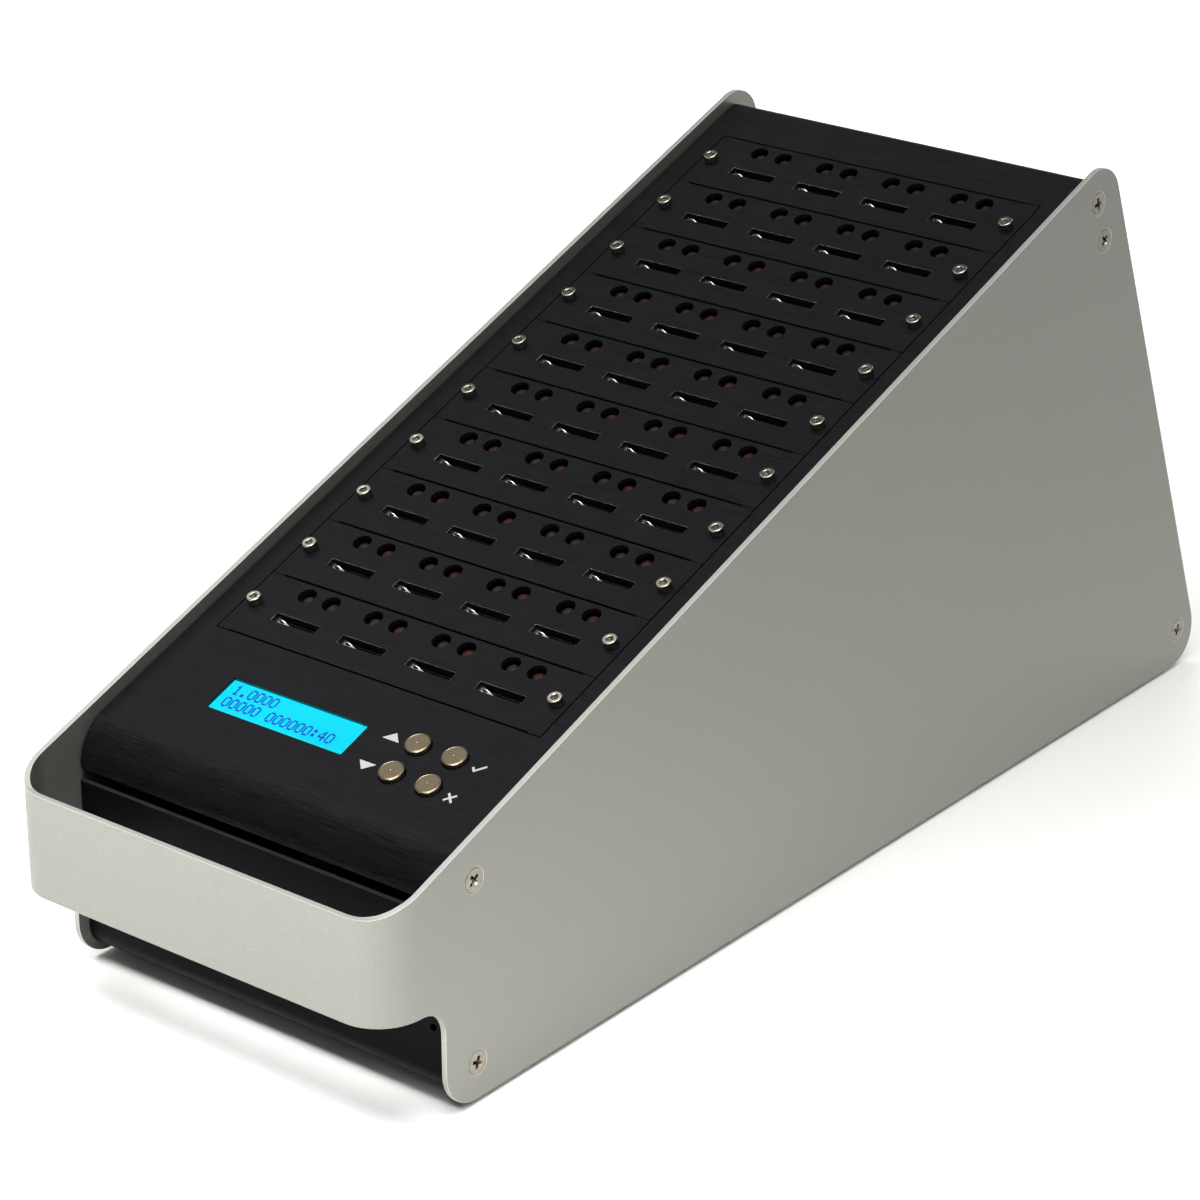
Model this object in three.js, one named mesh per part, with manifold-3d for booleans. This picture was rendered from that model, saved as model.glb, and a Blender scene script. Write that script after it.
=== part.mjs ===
// Memory card duplicator: a sloped desk unit with ten removable port plates of four card
// slots each, a small display with four keys, and a bright outer sheet that wraps the sides
// and crosses the front as a carrying handle.
// Millimetres. +X right, +Y back, +Z up. The origin is the bottom centre of the whole unit.
// Inside, depths are counted from the handle's front face, and the sloped pieces live in a
// group of their own: its Y runs up the slope and its Z stands square to the top panel.

import * as THREE from "three";
import { mergeVertices } from "three/addons/utils/BufferGeometryUtils.js";
import Module from "manifold-3d";

const wasm = await Module();
wasm.setup();

// Fits and facets
const GAP = 0.3; // between touching pieces
const OVERRUN = 1; // how far a cutting solid runs past what it cuts
const ROUND_SIDES = 12; // sides of a round piece
const HOLE_SIDES = 8; // sides of a small hole
const PIN_SIDES = 6; // sides of a hidden shank, pin or post
const ARC_STEPS = 6; // segments in one rounded corner

// Outer wrap: one bent sheet, both side walls and the handle across the front
const WIDTH = 177.6;
const WRAP_SHEET = 2.1;
const WRAP_LIFT = 2; // side walls' lower edge above the table
const WRAP_BEND = 18.2; // outer radius of the two front bends
const HANDLE_BOTTOM = 45.2; // heights of the handle strip's edges
const HANDLE_TOP = 85.2;
const HANDLE_BLEND = 12; // depth over which the strip's top edge turns into the slope
const BLEND_NEAR_SHARE = 1 / 4; // two points of that turn, as shares of its depth
const BLEND_FAR_SHARE = 1 / 2;
const WALL_FRONT = 30; // depth of the side walls' front edge below the handle
const WALL_CORNER = 15; // radius of the side walls' corners
const NOTCH_RADIUS = 12; // inner corner under the handle
const WALL_RISE = 4.6; // side walls' top edge above the panel's face
const WALL_LENGTH = 423.5; // along the slope, to the side walls' rear edge

// Black inner casing
const SLOPE_DEG = 20.25;
const FASCIA_DEPTH = 34.9; // depth of the front face behind the handle
const PANEL_FRONT_HEIGHT = 92.6; // where the panel's plane meets the front face's plane
const CASE_SHEET = 2;
const PANEL_BEND = 18; // outer radius of the top panel's front bend
const LIP_BOTTOM = 78.8; // height of the top panel's lower front edge
const FASCIA_TOP = 73.7; // height of the tray's upper front edge
const TRAY_BOTTOM = 5;
const TRAY_BEND = 10; // radius under the tray's front
const TRAY_FLANGE = 24; // height of the tray's side flanges
const TRAY_REAR_INSET = 5; // tray's rear wall in front of the side walls' rear edge
const TRAY_REAR_RISE = 15; // tray's rear wall over its side flanges, to lap the rear panel
const TRAY_REAR_BEND = 12; // radius under the tray's rear
const FASCIA_HOLE_DIAMETER = 3;
const FASCIA_HOLE_HEIGHT = 31;
const FASCIA_HOLE_INSET = 9.8; // from the outer face of the side wall
const REAR_INSET = 10.6; // rear panel's face in front of the side walls' rear edge
const REAR_CORNER = 4; // radius of the top panel's rear bend
const PANEL_FLANGE = 18; // depth of the top panel's side and rear flanges
const REAR_FLANGE = 20; // rear panel's side flanges, measured forwards

// Side screws: countersunk M5 with a cross recess
const SCREW_HEAD_DIAMETER = 9;
const SCREW_HEAD_HEIGHT = 1.9;
const SCREW_SHANK_DIAMETER = 5;
const SCREW_LENGTH = 9;
const CROSS_LENGTH = 5.2;
const CROSS_WIDTH = 1.1;
const CROSS_DEPTH = 1.3;
const FRONT_SCREW_DEPTH = 46; // the pair at the front, one over the other
const FRONT_SCREW_TOP = 85.4;
const FRONT_SCREW_BOTTOM = 15.9;
const REAR_SCREW_INSET = 14.8; // the pair at the rear, from the side walls' rear edge
const REAR_SCREW_UPPER = 9.2; // under the panel's face
const REAR_SCREW_LOWER = 26.6;
const TAIL_SCREW_INSET = 7.1; // the one low at the rear, from the tray's rear wall
const TAIL_SCREW_HEIGHT = 17.7;

// Port plates, measured up the slope from where the panel's plane meets the front plane
const PORT_ROWS = 10;
const PORTS_PER_ROW = 4;
const ROW_PITCH = 32.34;
const FIELD_START = 65.8; // front edge of the first plate
const PLATE_END_SPACE = 10.8; // from the casing's side to a plate's end
const PLATE_GAP = 0.6; // seam round each plate
const PLATE_SHEET = 2;
const PORT_END_SPACE = 27.45; // from a plate's end to its nearest slot's centre
const SLOT_WIDTH = 20.9;
const SLOT_HEIGHT = 4.2;
const SLOT_BELOW_SCREW = 3.5; // slot's centre line under the plate's screws
const LED_ABOVE_SLOT = 13.8;
const LED_PITCH = 11.7;
const LED_HOLE_DIAMETER = 7.3;
const SCREW_LINE = 16.1; // plate's front edge to its screws
const CAP_SCREW_INSET = 4.9; // from a plate's end to its screw
const CAP_HEAD_DIAMETER = 5.6;
const CAP_HEAD_HEIGHT = 3;
const CAP_SHANK_DIAMETER = 3;
const HEX_SOCKET_WIDTH = 2.5;
const HEX_SOCKET_DEPTH = 1.3;

// Rails under the plates' ends
const RAIL_LAP = 10.6; // how far a plate's end lies over its rail
const RAIL_SIDE_SPACE = 4.9; // between a rail and the top panel's side flange
const RAIL_HEIGHT = 9;

// Port boards
const BOARD_SHEET = 1.6;
const BOARD_DEPTH = 27; // board's upper face under the plate's face
const BOARD_SIDE_SPACE = 2; // between a board and a rail
const BOARD_LENGTH = 29;
const SOCKET_WALL = 1.2;
const SOCKET_PLAY = 0.4; // socket's mouth round the slot, each side
const SOCKET_FLOOR = 3;
const LED_DIAMETER = 5;
const LED_RECESS = 5; // top of a lamp under the plate's face
const POST_DIAMETER = 5;
const POST_INSET = 5; // board's post from the board's end

// Display
const DISPLAY_CENTRE_X = -18.2;
const DISPLAY_CENTRE_UP = 38.3;
const WINDOW_WIDTH = 64.5;
const WINDOW_HEIGHT = 16.2;
const PANE_RECESS = 0.1; // pane's face under the panel's
const PANE_SHEET = 0.8;
const DISPLAY_FRAME_WIDTH = 71;
const DISPLAY_FRAME_HEIGHT = 26;
const DISPLAY_FRAME_DEPTH = 7;
const DISPLAY_BOARD_WIDTH = 80;
const DISPLAY_BOARD_HEIGHT = 36;

// Keys
const KEY_CENTRE_X = 46.2;
const KEY_CENTRE_UP = 37.4;
const KEY_PITCH_X = 16.6;
const KEY_PITCH_UP = 14.8;
const KEY_DIAMETER = 9.5;
const KEY_PROUD = 1.7;
const KEY_DOME = 0.6;
const KEY_FLANGE_DIAMETER = 12;
const KEY_FLANGE_SHEET = 1.2;
const KEY_STEM_DIAMETER = 4;
const KEY_STEM_LENGTH = 2.4;
const KEY_TRAVEL = 1;
const SWITCH_SIZE = 6;
const SWITCH_HEIGHT = 4;
const KEY_BOARD_WIDTH = 42;
const KEY_BOARD_HEIGHT = 38;

// Controller board and power supply on the tray
const CONTROLLER_WIDTH = 120;
const CONTROLLER_LENGTH = 90;
const CONTROLLER_DEPTH = 92; // depth of its front edge
const CONTROLLER_LIFT = 10;
const CHIP_SIZE = 22;
const CHIP_PITCH = 52.8; // between the two chips' centres
const CHIP_HEIGHT = 3;
const HEADER_WIDTH = 50;
const HEADER_LENGTH = 9;
const HEADER_HEIGHT = 9;
const SUPPLY_WIDTH = 110;
const SUPPLY_LENGTH = 150;
const SUPPLY_HEIGHT = 42;
const SUPPLY_DEPTH = 290; // depth of its front edge
const SUPPLY_SHEET = 1.2;
const SUPPLY_VENT_WIDTH = 3;
const SUPPLY_VENT_COUNT = 8;

// Wiring inside: a ribbon from the controller past every port board, and two harnesses
const RIBBON_WIDTH = 40;
const RIBBON_SHEET = 1.2;
const RIBBON_BEND = 8;
const HARNESS_DIAMETER = 7;
const HARNESS_STEPS = 10;
const HARNESS_LEAD = 9; // straight run out of the supply and the inlet

// Rear panel's fan, power inlet and switch
const FAN_SIZE = 80;
const FAN_THICKNESS = 25;
const FAN_BORE_DIAMETER = 75;
const FAN_CENTRE_DOWN = 75; // under the panel's face
const FAN_HUB_DIAMETER = 30;
const FAN_BLADES = 7;
const FAN_BLADE_SHEET = 1.6;
const FAN_HUB_DEPTH = 16;
const FAN_BLADE_CHORD = 12.8;
const FAN_BLADE_PITCH_DEG = 32;
const FAN_TIP_SPACE = 1;
const FAN_PIN_DIAMETER = 4;
const FAN_RUNNING_SPACE = 0.4;
const FAN_ARM_WIDTH = 7;
const FAN_ARM_SHEET = 3;
const FAN_CUP_DIAMETER = 31;
const GRILLE_SLOT_WIDTH = 3;
const GRILLE_SLOT_PITCH = 7;
const GRILLE_SLOTS = 9;
const INLET_CENTRE_X = -30;
const INLET_CENTRE_UP = 45; // over the rear panel's lower edge
const INLET_FLANGE_WIDTH = 48;
const INLET_FLANGE_HEIGHT = 30;
const INLET_FLANGE_SHEET = 2.5;
const INLET_BODY_WIDTH = 31;
const INLET_BODY_HEIGHT = 24;
const INLET_BODY_DEPTH = 24;
const INLET_MOUTH_WIDTH = 24.4;
const INLET_MOUTH_HEIGHT = 16.4;
const INLET_MOUTH_DEPTH = 20;
const BLADE_WIDTH = 2;
const BLADE_HEIGHT = 4;
const BLADE_LENGTH = 12;
const BLADE_PITCH = 14;
const ROCKER_CENTRE_X = 30;
const ROCKER_WIDTH = 12;
const ROCKER_LENGTH = 19;
const ROCKER_DEPTH = 5;
const ROCKER_TILT_DEG = 8;
const ROCKER_SPACE = 0.6; // between the rocker and its housing
const ROCKER_PIN_DIAMETER = 2.4;
const HOUSING_WALL = 2;
const HOUSING_RIM = 2.5; // housing's rim beyond its body
const HOUSING_RIM_SHEET = 1.5;
const HOUSING_DEPTH = 16;

// Rubber feet
const FOOT_DIAMETER = 16;
const FOOT_TOP_DIAMETER = 13;
const FOOT_STEM_DIAMETER = 5;
const FOOT_STEM_LENGTH = 4;
const FOOT_INSET_X = 24; // from the outer face of the side wall
const FOOT_FRONT_DEPTH = 66;
const FOOT_REAR_DEPTH = 462;

// Materials
const material = (color, roughness, metalness) =>
  new THREE.MeshStandardMaterial({ color, roughness, metalness });
const silverSheet = material(0xb4b4ae, 0.42, 0.75);
const blackSheet = material(0x26262a, 0.45, 0.5);
const nickel = material(0xb9b2a2, 0.25, 1);
const zincSteel = material(0xa9a9a6, 0.35, 1);
const railAluminium = material(0x9fa1a3, 0.4, 0.9);
const greenBoard = material(0x1f5a36, 0.55, 0);
const displayGlow = material(0x10d8f4, 0.3, 0);
const clearPane = material(0xd8f4ff, 0.08, 0);
const plastic = material(0x151517, 0.5, 0);
const steelBox = material(0x8f9294, 0.4, 0.8);
const rubber = material(0x1a1a1a, 0.85, 0);

// Angles and the slope's own frame
const SLOPE = THREE.MathUtils.degToRad(SLOPE_DEG);
const HALF_TURN = Math.PI;
const QUARTER_TURN = HALF_TURN / 2;

// A point of the side view, depth and height, as distance up the slope and height over it.
function toSlope(depth, height) {
  const y = depth - FASCIA_DEPTH;
  const z = height - PANEL_FRONT_HEIGHT;
  return [y * Math.cos(SLOPE) + z * Math.sin(SLOPE), z * Math.cos(SLOPE) - y * Math.sin(SLOPE)];
}

// The same point the other way round.
function fromSlope(up, rise) {
  return [
    FASCIA_DEPTH + up * Math.cos(SLOPE) - rise * Math.sin(SLOPE),
    PANEL_FRONT_HEIGHT + up * Math.sin(SLOPE) + rise * Math.cos(SLOPE),
  ];
}

// Solids: every closed geometry becomes a manifold to be joined or cut, and comes back.
function toSolid(geometry) {
  const bare = geometry.clone();
  bare.deleteAttribute("normal");
  bare.deleteAttribute("uv");
  const merged = mergeVertices(bare);
  return new wasm.Manifold(new wasm.Mesh({
    numProp: 3,
    vertProperties: new Float32Array(merged.attributes.position.array),
    triVerts: new Uint32Array(merged.index.array),
  }));
}

function toGeometry(solid) {
  const mesh = solid.getMesh();
  const geometry = new THREE.BufferGeometry();
  geometry.setAttribute("position", new THREE.BufferAttribute(mesh.vertProperties, mesh.numProp));
  geometry.setIndex(new THREE.BufferAttribute(mesh.triVerts, 1));
  geometry.computeVertexNormals();
  return geometry;
}

const join = (first, ...others) => others.reduce((sum, other) => sum.add(other), first);
const cut = (first, ...others) => others.reduce((rest, other) => rest.subtract(other), first);

// A block between two corners.
function block(low, high) {
  const geometry = new THREE.BoxGeometry(...high.map((value, axis) => value - low[axis]));
  geometry.translate(...high.map((value, axis) => (value + low[axis]) / 2));
  return toSolid(geometry);
}

// A round bar or cone standing on a point, along +Z.
function bar(diameter, x, y, bottom, top, sides = ROUND_SIDES, topDiameter = diameter) {
  const geometry = new THREE.CylinderGeometry(topDiameter / 2, diameter / 2, top - bottom, sides);
  geometry.rotateX(QUARTER_TURN);
  geometry.translate(x, y, (bottom + top) / 2);
  return toSolid(geometry);
}

// A turned solid about +Z from its profile of [radius, height] points.
function turned(profile, sides = ROUND_SIDES) {
  const points = profile.map(([radius, height]) => new THREE.Vector2(radius, height));
  const geometry = new THREE.LatheGeometry(points, sides);
  geometry.rotateX(QUARTER_TURN);
  return toSolid(geometry);
}

// A closed outline of corners [a, b, radius] with each corner rounded by its radius.
function roundedShape(corners) {
  const shape = new THREE.Shape();
  corners.forEach(([a, b, radius = 0], index) => {
    const corner = new THREE.Vector2(a, b);
    const [pa, pb] = corners[(index + corners.length - 1) % corners.length];
    const [na, nb] = corners[(index + 1) % corners.length];
    const back = new THREE.Vector2(pa, pb).sub(corner).normalize();
    const on = new THREE.Vector2(na, nb).sub(corner).normalize();
    const half = Math.acos(THREE.MathUtils.clamp(back.dot(on), -1, 1)) / 2;
    const reach = radius / Math.tan(half);
    const start = corner.clone().addScaledVector(back, reach);
    const end = corner.clone().addScaledVector(on, reach);
    if (index === 0) shape.moveTo(start.x, start.y);
    else shape.lineTo(start.x, start.y);
    if (radius > 0) {
      const inward = back.clone().add(on).normalize();
      const centre = corner.clone().addScaledVector(inward, radius / Math.sin(half));
      const from = start.clone().sub(centre).angle();
      const to = end.clone().sub(centre).angle();
      const clockwise = back.cross(on) > 0;
      shape.absarc(centre.x, centre.y, radius, from, to, clockwise);
    }
  });
  shape.closePath();
  return shape;
}

// An outline in the side view (Y, Z) drawn out along X.
function prismX(shape, low, high) {
  const geometry = new THREE.ExtrudeGeometry(shape, {
    depth: high - low,
    bevelEnabled: false,
    curveSegments: ARC_STEPS,
  });
  const across = new THREE.Matrix4().makeBasis(
    new THREE.Vector3(0, 1, 0), new THREE.Vector3(0, 0, 1), new THREE.Vector3(1, 0, 0),
  );
  geometry.applyMatrix4(across);
  geometry.translate(low, 0, 0);
  return toSolid(geometry);
}

// An outline in plan (X, Y) drawn out along Z.
function prismZ(shape, low, high) {
  const geometry = new THREE.ExtrudeGeometry(shape, {
    depth: high - low,
    bevelEnabled: false,
    curveSegments: ARC_STEPS,
  });
  geometry.translate(0, 0, low);
  return toSolid(geometry);
}

const assembly = new THREE.Group(); // depths and heights
const slope = new THREE.Group(); // up the slope, and square to it
slope.position.set(0, FASCIA_DEPTH, PANEL_FRONT_HEIGHT);
slope.rotation.x = SLOPE;
assembly.add(slope);

function addPiece(group, name, solid, finish) {
  const mesh = new THREE.Mesh(toGeometry(solid), finish);
  mesh.name = name;
  group.add(mesh);
  return mesh;
}

// Places that several pieces share
const wallInside = WIDTH / 2 - WRAP_SHEET;
const caseHalfWidth = wallInside - GAP;
const caseInside = caseHalfWidth - CASE_SHEET;
const plateHalf = caseHalfWidth - PLATE_END_SPACE;
const capScrewX = plateHalf - CAP_SCREW_INSET;
const railInnerX = plateHalf - RAIL_LAP;
const railOuterX = caseInside - RAIL_SIDE_SPACE;
const rearFace = WALL_LENGTH - REAR_INSET;
const fieldEnd = FIELD_START + PORT_ROWS * ROW_PITCH;
const trayFloor = TRAY_BOTTOM + CASE_SHEET;
const riseAt = (up, height) => (height - fromSlope(up, 0)[1]) / Math.cos(SLOPE);
const rearFlangeStart = rearFace - REAR_FLANGE;
const rearBottomRise = riseAt(rearFlangeStart, TRAY_BOTTOM + TRAY_FLANGE + GAP);
const wallBottomRise = riseAt(WALL_LENGTH, WRAP_LIFT);
const [wallRearDepth] = fromSlope(WALL_LENGTH, wallBottomRise);
const trayRearUp = WALL_LENGTH - TRAY_REAR_INSET;
const [trayRearDepth] = fromSlope(trayRearUp, riseAt(trayRearUp, TAIL_SCREW_HEIGHT));
const tailScrewDepth = trayRearDepth - TAIL_SCREW_INSET;

// Side screws' places in the side view, with the casing piece that each one holds
const sideScrews = [
  { name: "front_top", place: [FRONT_SCREW_DEPTH, FRONT_SCREW_TOP] },
  { name: "front_bottom", place: [FRONT_SCREW_DEPTH, FRONT_SCREW_BOTTOM] },
  { name: "rear_top", place: fromSlope(WALL_LENGTH - REAR_SCREW_INSET, -REAR_SCREW_UPPER) },
  { name: "rear_upper", place: fromSlope(WALL_LENGTH - REAR_SCREW_INSET, -REAR_SCREW_LOWER) },
  { name: "rear_bottom", place: [tailScrewDepth, TAIL_SCREW_HEIGHT] },
];

// Turns a solid that stands along +Z so that it points to one side of the unit.
function toSide(solid, side, depth, height) {
  return solid.rotate([0, side * 90, 0]).translate([side * (WIDTH / 2), depth, height]);
}

// A clearance hole for the side screws' shanks, through both flanges of a casing piece.
function shankHoles(places) {
  const reach = WIDTH / 2;
  const diameter = SCREW_SHANK_DIAMETER + 2 * GAP;
  return places.map(([y, z]) =>
    bar(diameter, 0, 0, -reach, reach, HOLE_SIDES).rotate([0, 90, 0]).translate([0, y, z]));
}

// Outer wrap
function makeWrap() {
  const half = WIDTH / 2;
  const behind = wallRearDepth + OVERRUN;
  const outer = roundedShape([
    [-half, 0, WRAP_BEND], [half, 0, WRAP_BEND], [half, behind], [-half, behind],
  ]);
  const innerBend = WRAP_BEND - WRAP_SHEET;
  const inner = roundedShape([
    [-wallInside, WRAP_SHEET, innerBend], [wallInside, WRAP_SHEET, innerBend],
    [wallInside, behind + OVERRUN], [-wallInside, behind + OVERRUN],
  ]);
  const tallest = fromSlope(WALL_LENGTH, WALL_RISE)[1] + OVERRUN;
  const sleeve = cut(prismZ(outer, 0, tallest), prismZ(inner, -OVERRUN, tallest + OVERRUN));

  const topEdge = (depth) => {
    const [lineDepth, lineHeight] = fromSlope(0, WALL_RISE);
    return lineHeight + (depth - lineDepth) * Math.tan(SLOPE);
  };
  const blendPoint = (share) => {
    const depth = HANDLE_BLEND * share;
    const settled = 1 - (1 - share) ** 2; // how far the turn has gone by there
    return [depth, HANDLE_TOP + (topEdge(depth) - HANDLE_TOP) * settled];
  };
  const side = roundedShape([
    [-OVERRUN, HANDLE_BOTTOM], [WALL_FRONT, HANDLE_BOTTOM, NOTCH_RADIUS],
    [WALL_FRONT, WRAP_LIFT, WALL_CORNER], [...fromSlope(WALL_LENGTH, wallBottomRise), WALL_CORNER],
    [...fromSlope(WALL_LENGTH, WALL_RISE), WALL_CORNER], [HANDLE_BLEND, topEdge(HANDLE_BLEND)],
    blendPoint(BLEND_FAR_SHARE),
    blendPoint(BLEND_NEAR_SHARE),
    [0, HANDLE_TOP], [-OVERRUN, HANDLE_TOP],
  ]);
  const silhouette = prismX(side, -half - OVERRUN, half + OVERRUN);
  let wrap = sleeve.intersect(silhouette);
  const mouth = SCREW_HEAD_DIAMETER / 2 + GAP;
  const throat = SCREW_SHANK_DIAMETER / 2 + GAP;
  const countersink = turned([
    [0, -WRAP_SHEET - OVERRUN], [throat, -WRAP_SHEET - OVERRUN], [throat, -SCREW_HEAD_HEIGHT],
    [mouth, 0], [mouth, OVERRUN], [0, OVERRUN],
  ]);
  for (const { place } of sideScrews) {
    for (const direction of [-1, 1]) {
      wrap = cut(wrap, toSide(countersink, direction, ...place));
    }
  }
  return wrap;
}

// One countersunk screw, head upwards with its top at zero.
function makeSideScrew() {
  const screw = turned([
    [0, -SCREW_LENGTH], [SCREW_SHANK_DIAMETER / 2, -SCREW_LENGTH],
    [SCREW_SHANK_DIAMETER / 2, -SCREW_HEAD_HEIGHT], [SCREW_HEAD_DIAMETER / 2, 0], [0, 0],
  ]);
  const long = CROSS_LENGTH / 2;
  const short = CROSS_WIDTH / 2;
  return cut(
    screw,
    block([-long, -short, -CROSS_DEPTH], [long, short, OVERRUN]),
    block([-short, -long, -CROSS_DEPTH], [short, long, OVERRUN]),
  );
}

// Top panel: front lip, front bend, sloped face, side flanges and a short rear flange.
function makeTopPanel() {
  const lip = toSlope(FASCIA_DEPTH, LIP_BOTTOM);
  const lipInside = toSlope(FASCIA_DEPTH + CASE_SHEET, LIP_BOTTOM);
  const lipBelow = toSlope(FASCIA_DEPTH + CASE_SHEET, LIP_BOTTOM - PANEL_FLANGE);
  const innerTop = toSlope(FASCIA_DEPTH + CASE_SHEET, PANEL_FRONT_HEIGHT + CASE_SHEET * Math.tan(SLOPE));
  const corner = [innerTop[0] + CASE_SHEET * Math.tan(SLOPE), -CASE_SHEET];
  const outer = roundedShape([
    lip, [lip[0] + PANEL_FLANGE, -PANEL_FLANGE], [rearFace, -PANEL_FLANGE],
    [rearFace, 0, REAR_CORNER], [0, 0, PANEL_BEND],
  ]);
  const inner = roundedShape([
    lipBelow, [rearFace - CASE_SHEET, -PANEL_FLANGE - OVERRUN],
    [rearFace - CASE_SHEET, -CASE_SHEET, REAR_CORNER - CASE_SHEET],
    [corner[0], corner[1], PANEL_BEND - CASE_SHEET], lipInside,
  ]);
  const shell = cut(
    prismX(outer, -caseHalfWidth, caseHalfWidth),
    prismX(inner, -caseInside, caseInside),
  );
  const fieldHalf = plateHalf + PLATE_GAP;
  const field = block(
    [-fieldHalf, FIELD_START - PLATE_GAP / 2, -CASE_SHEET - OVERRUN],
    [fieldHalf, fieldEnd + PLATE_GAP / 2, OVERRUN],
  );
  const window = block(
    [DISPLAY_CENTRE_X - WINDOW_WIDTH / 2, DISPLAY_CENTRE_UP - WINDOW_HEIGHT / 2, -CASE_SHEET - OVERRUN],
    [DISPLAY_CENTRE_X + WINDOW_WIDTH / 2, DISPLAY_CENTRE_UP + WINDOW_HEIGHT / 2, OVERRUN],
  );
  const keyHoles = keyPlaces().map(({ x, up }) =>
    bar(KEY_DIAMETER + 2 * GAP, x, up, -CASE_SHEET - OVERRUN, OVERRUN, ROUND_SIDES));
  const screws = shankHoles([
    toSlope(FRONT_SCREW_DEPTH, FRONT_SCREW_TOP),
    [WALL_LENGTH - REAR_SCREW_INSET, -REAR_SCREW_UPPER],
  ]);
  return cut(shell, field, window, ...keyHoles, ...screws);
}

// Tray: front fascia with a rounded lower edge, floor, low side flanges and a leaning rear wall.
function makeTray() {
  const flangeTop = TRAY_BOTTOM + TRAY_FLANGE;
  const fasciaInside = FASCIA_DEPTH + CASE_SHEET;
  const rearAt = (inset, height) => {
    const up = trayRearUp - inset;
    return fromSlope(up, riseAt(up, height));
  };
  const outer = roundedShape([
    [FASCIA_DEPTH, TRAY_BOTTOM, TRAY_BEND], [...rearAt(0, TRAY_BOTTOM), TRAY_REAR_BEND],
    rearAt(0, flangeTop + TRAY_REAR_RISE), rearAt(CASE_SHEET, flangeTop + TRAY_REAR_RISE),
    rearAt(CASE_SHEET, flangeTop), [fasciaInside + TRAY_FLANGE, flangeTop],
    [fasciaInside, FASCIA_TOP], [FASCIA_DEPTH, FASCIA_TOP],
  ]);
  const inner = roundedShape([
    [fasciaInside, trayFloor, TRAY_BEND - CASE_SHEET],
    [...rearAt(CASE_SHEET, trayFloor), TRAY_REAR_BEND - CASE_SHEET],
    rearAt(CASE_SHEET, FASCIA_TOP + OVERRUN), [fasciaInside, FASCIA_TOP + OVERRUN],
  ]);
  const holes = [-1, 1].map((side) =>
    bar(FASCIA_HOLE_DIAMETER, 0, 0, -OVERRUN, CASE_SHEET + OVERRUN, HOLE_SIDES)
      .rotate([-90, 0, 0])
      .translate([side * (WIDTH / 2 - FASCIA_HOLE_INSET), FASCIA_DEPTH, FASCIA_HOLE_HEIGHT]));
  const footHoles = footPlaces().map(({ x, depth }) =>
    bar(FOOT_STEM_DIAMETER + 2 * GAP, x, depth, TRAY_BOTTOM - OVERRUN, trayFloor + OVERRUN, HOLE_SIDES));
  return cut(
    prismX(outer, -caseHalfWidth, caseHalfWidth),
    prismX(inner, -caseInside, caseInside),
    ...holes,
    ...footHoles,
    ...shankHoles([[FRONT_SCREW_DEPTH, FRONT_SCREW_BOTTOM], [tailScrewDepth, TAIL_SCREW_HEIGHT]]),
  );
}

// Rear panel: a plate with forward side flanges, a fan grille and two cut-outs.
function makeRearPanel() {
  const top = -PANEL_FLANGE - GAP;
  const inside = rearFace - CASE_SHEET;
  const outer = block([-caseHalfWidth, rearFlangeStart, rearBottomRise], [caseHalfWidth, rearFace, top]);
  const inner = block(
    [-caseInside, rearFlangeStart - OVERRUN, rearBottomRise - OVERRUN],
    [caseInside, inside, top + OVERRUN],
  );
  const slots = [];
  for (let index = 0; index < GRILLE_SLOTS; index += 1) {
    const x = (index - (GRILLE_SLOTS - 1) / 2) * GRILLE_SLOT_PITCH;
    const reach = Math.sqrt((FAN_BORE_DIAMETER / 2) ** 2 - x ** 2) - GRILLE_SLOT_WIDTH;
    slots.push(block(
      [x - GRILLE_SLOT_WIDTH / 2, inside - OVERRUN, -FAN_CENTRE_DOWN - reach],
      [x + GRILLE_SLOT_WIDTH / 2, rearFace + OVERRUN, -FAN_CENTRE_DOWN + reach],
    ));
  }
  const rise = rearBottomRise + INLET_CENTRE_UP;
  const opening = (centre, width, height) => block(
    [centre - width / 2 - GAP, inside - OVERRUN, rise - height / 2 - GAP],
    [centre + width / 2 + GAP, rearFace + OVERRUN, rise + height / 2 + GAP],
  );
  const housing = housingSize();
  return cut(
    outer,
    inner,
    ...slots,
    opening(INLET_CENTRE_X, INLET_BODY_WIDTH, INLET_BODY_HEIGHT),
    opening(ROCKER_CENTRE_X, housing.width, housing.height),
    ...shankHoles([[WALL_LENGTH - REAR_SCREW_INSET, -REAR_SCREW_LOWER]]),
  );
}

// Port plates
const plateFront = (row) => FIELD_START + row * ROW_PITCH + PLATE_GAP / 2;
const plateRear = (row) => FIELD_START + (row + 1) * ROW_PITCH - PLATE_GAP / 2;
const screwLine = (row) => FIELD_START + row * ROW_PITCH + SCREW_LINE;
const slotLine = (row) => screwLine(row) - SLOT_BELOW_SCREW;
const ledLine = (row) => slotLine(row) + LED_ABOVE_SLOT;
const portPitch = (2 * (plateHalf - PORT_END_SPACE)) / (PORTS_PER_ROW - 1);
const portPlaces = Array.from({ length: PORTS_PER_ROW }, (_, port) =>
  (port - (PORTS_PER_ROW - 1) / 2) * portPitch);

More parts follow.
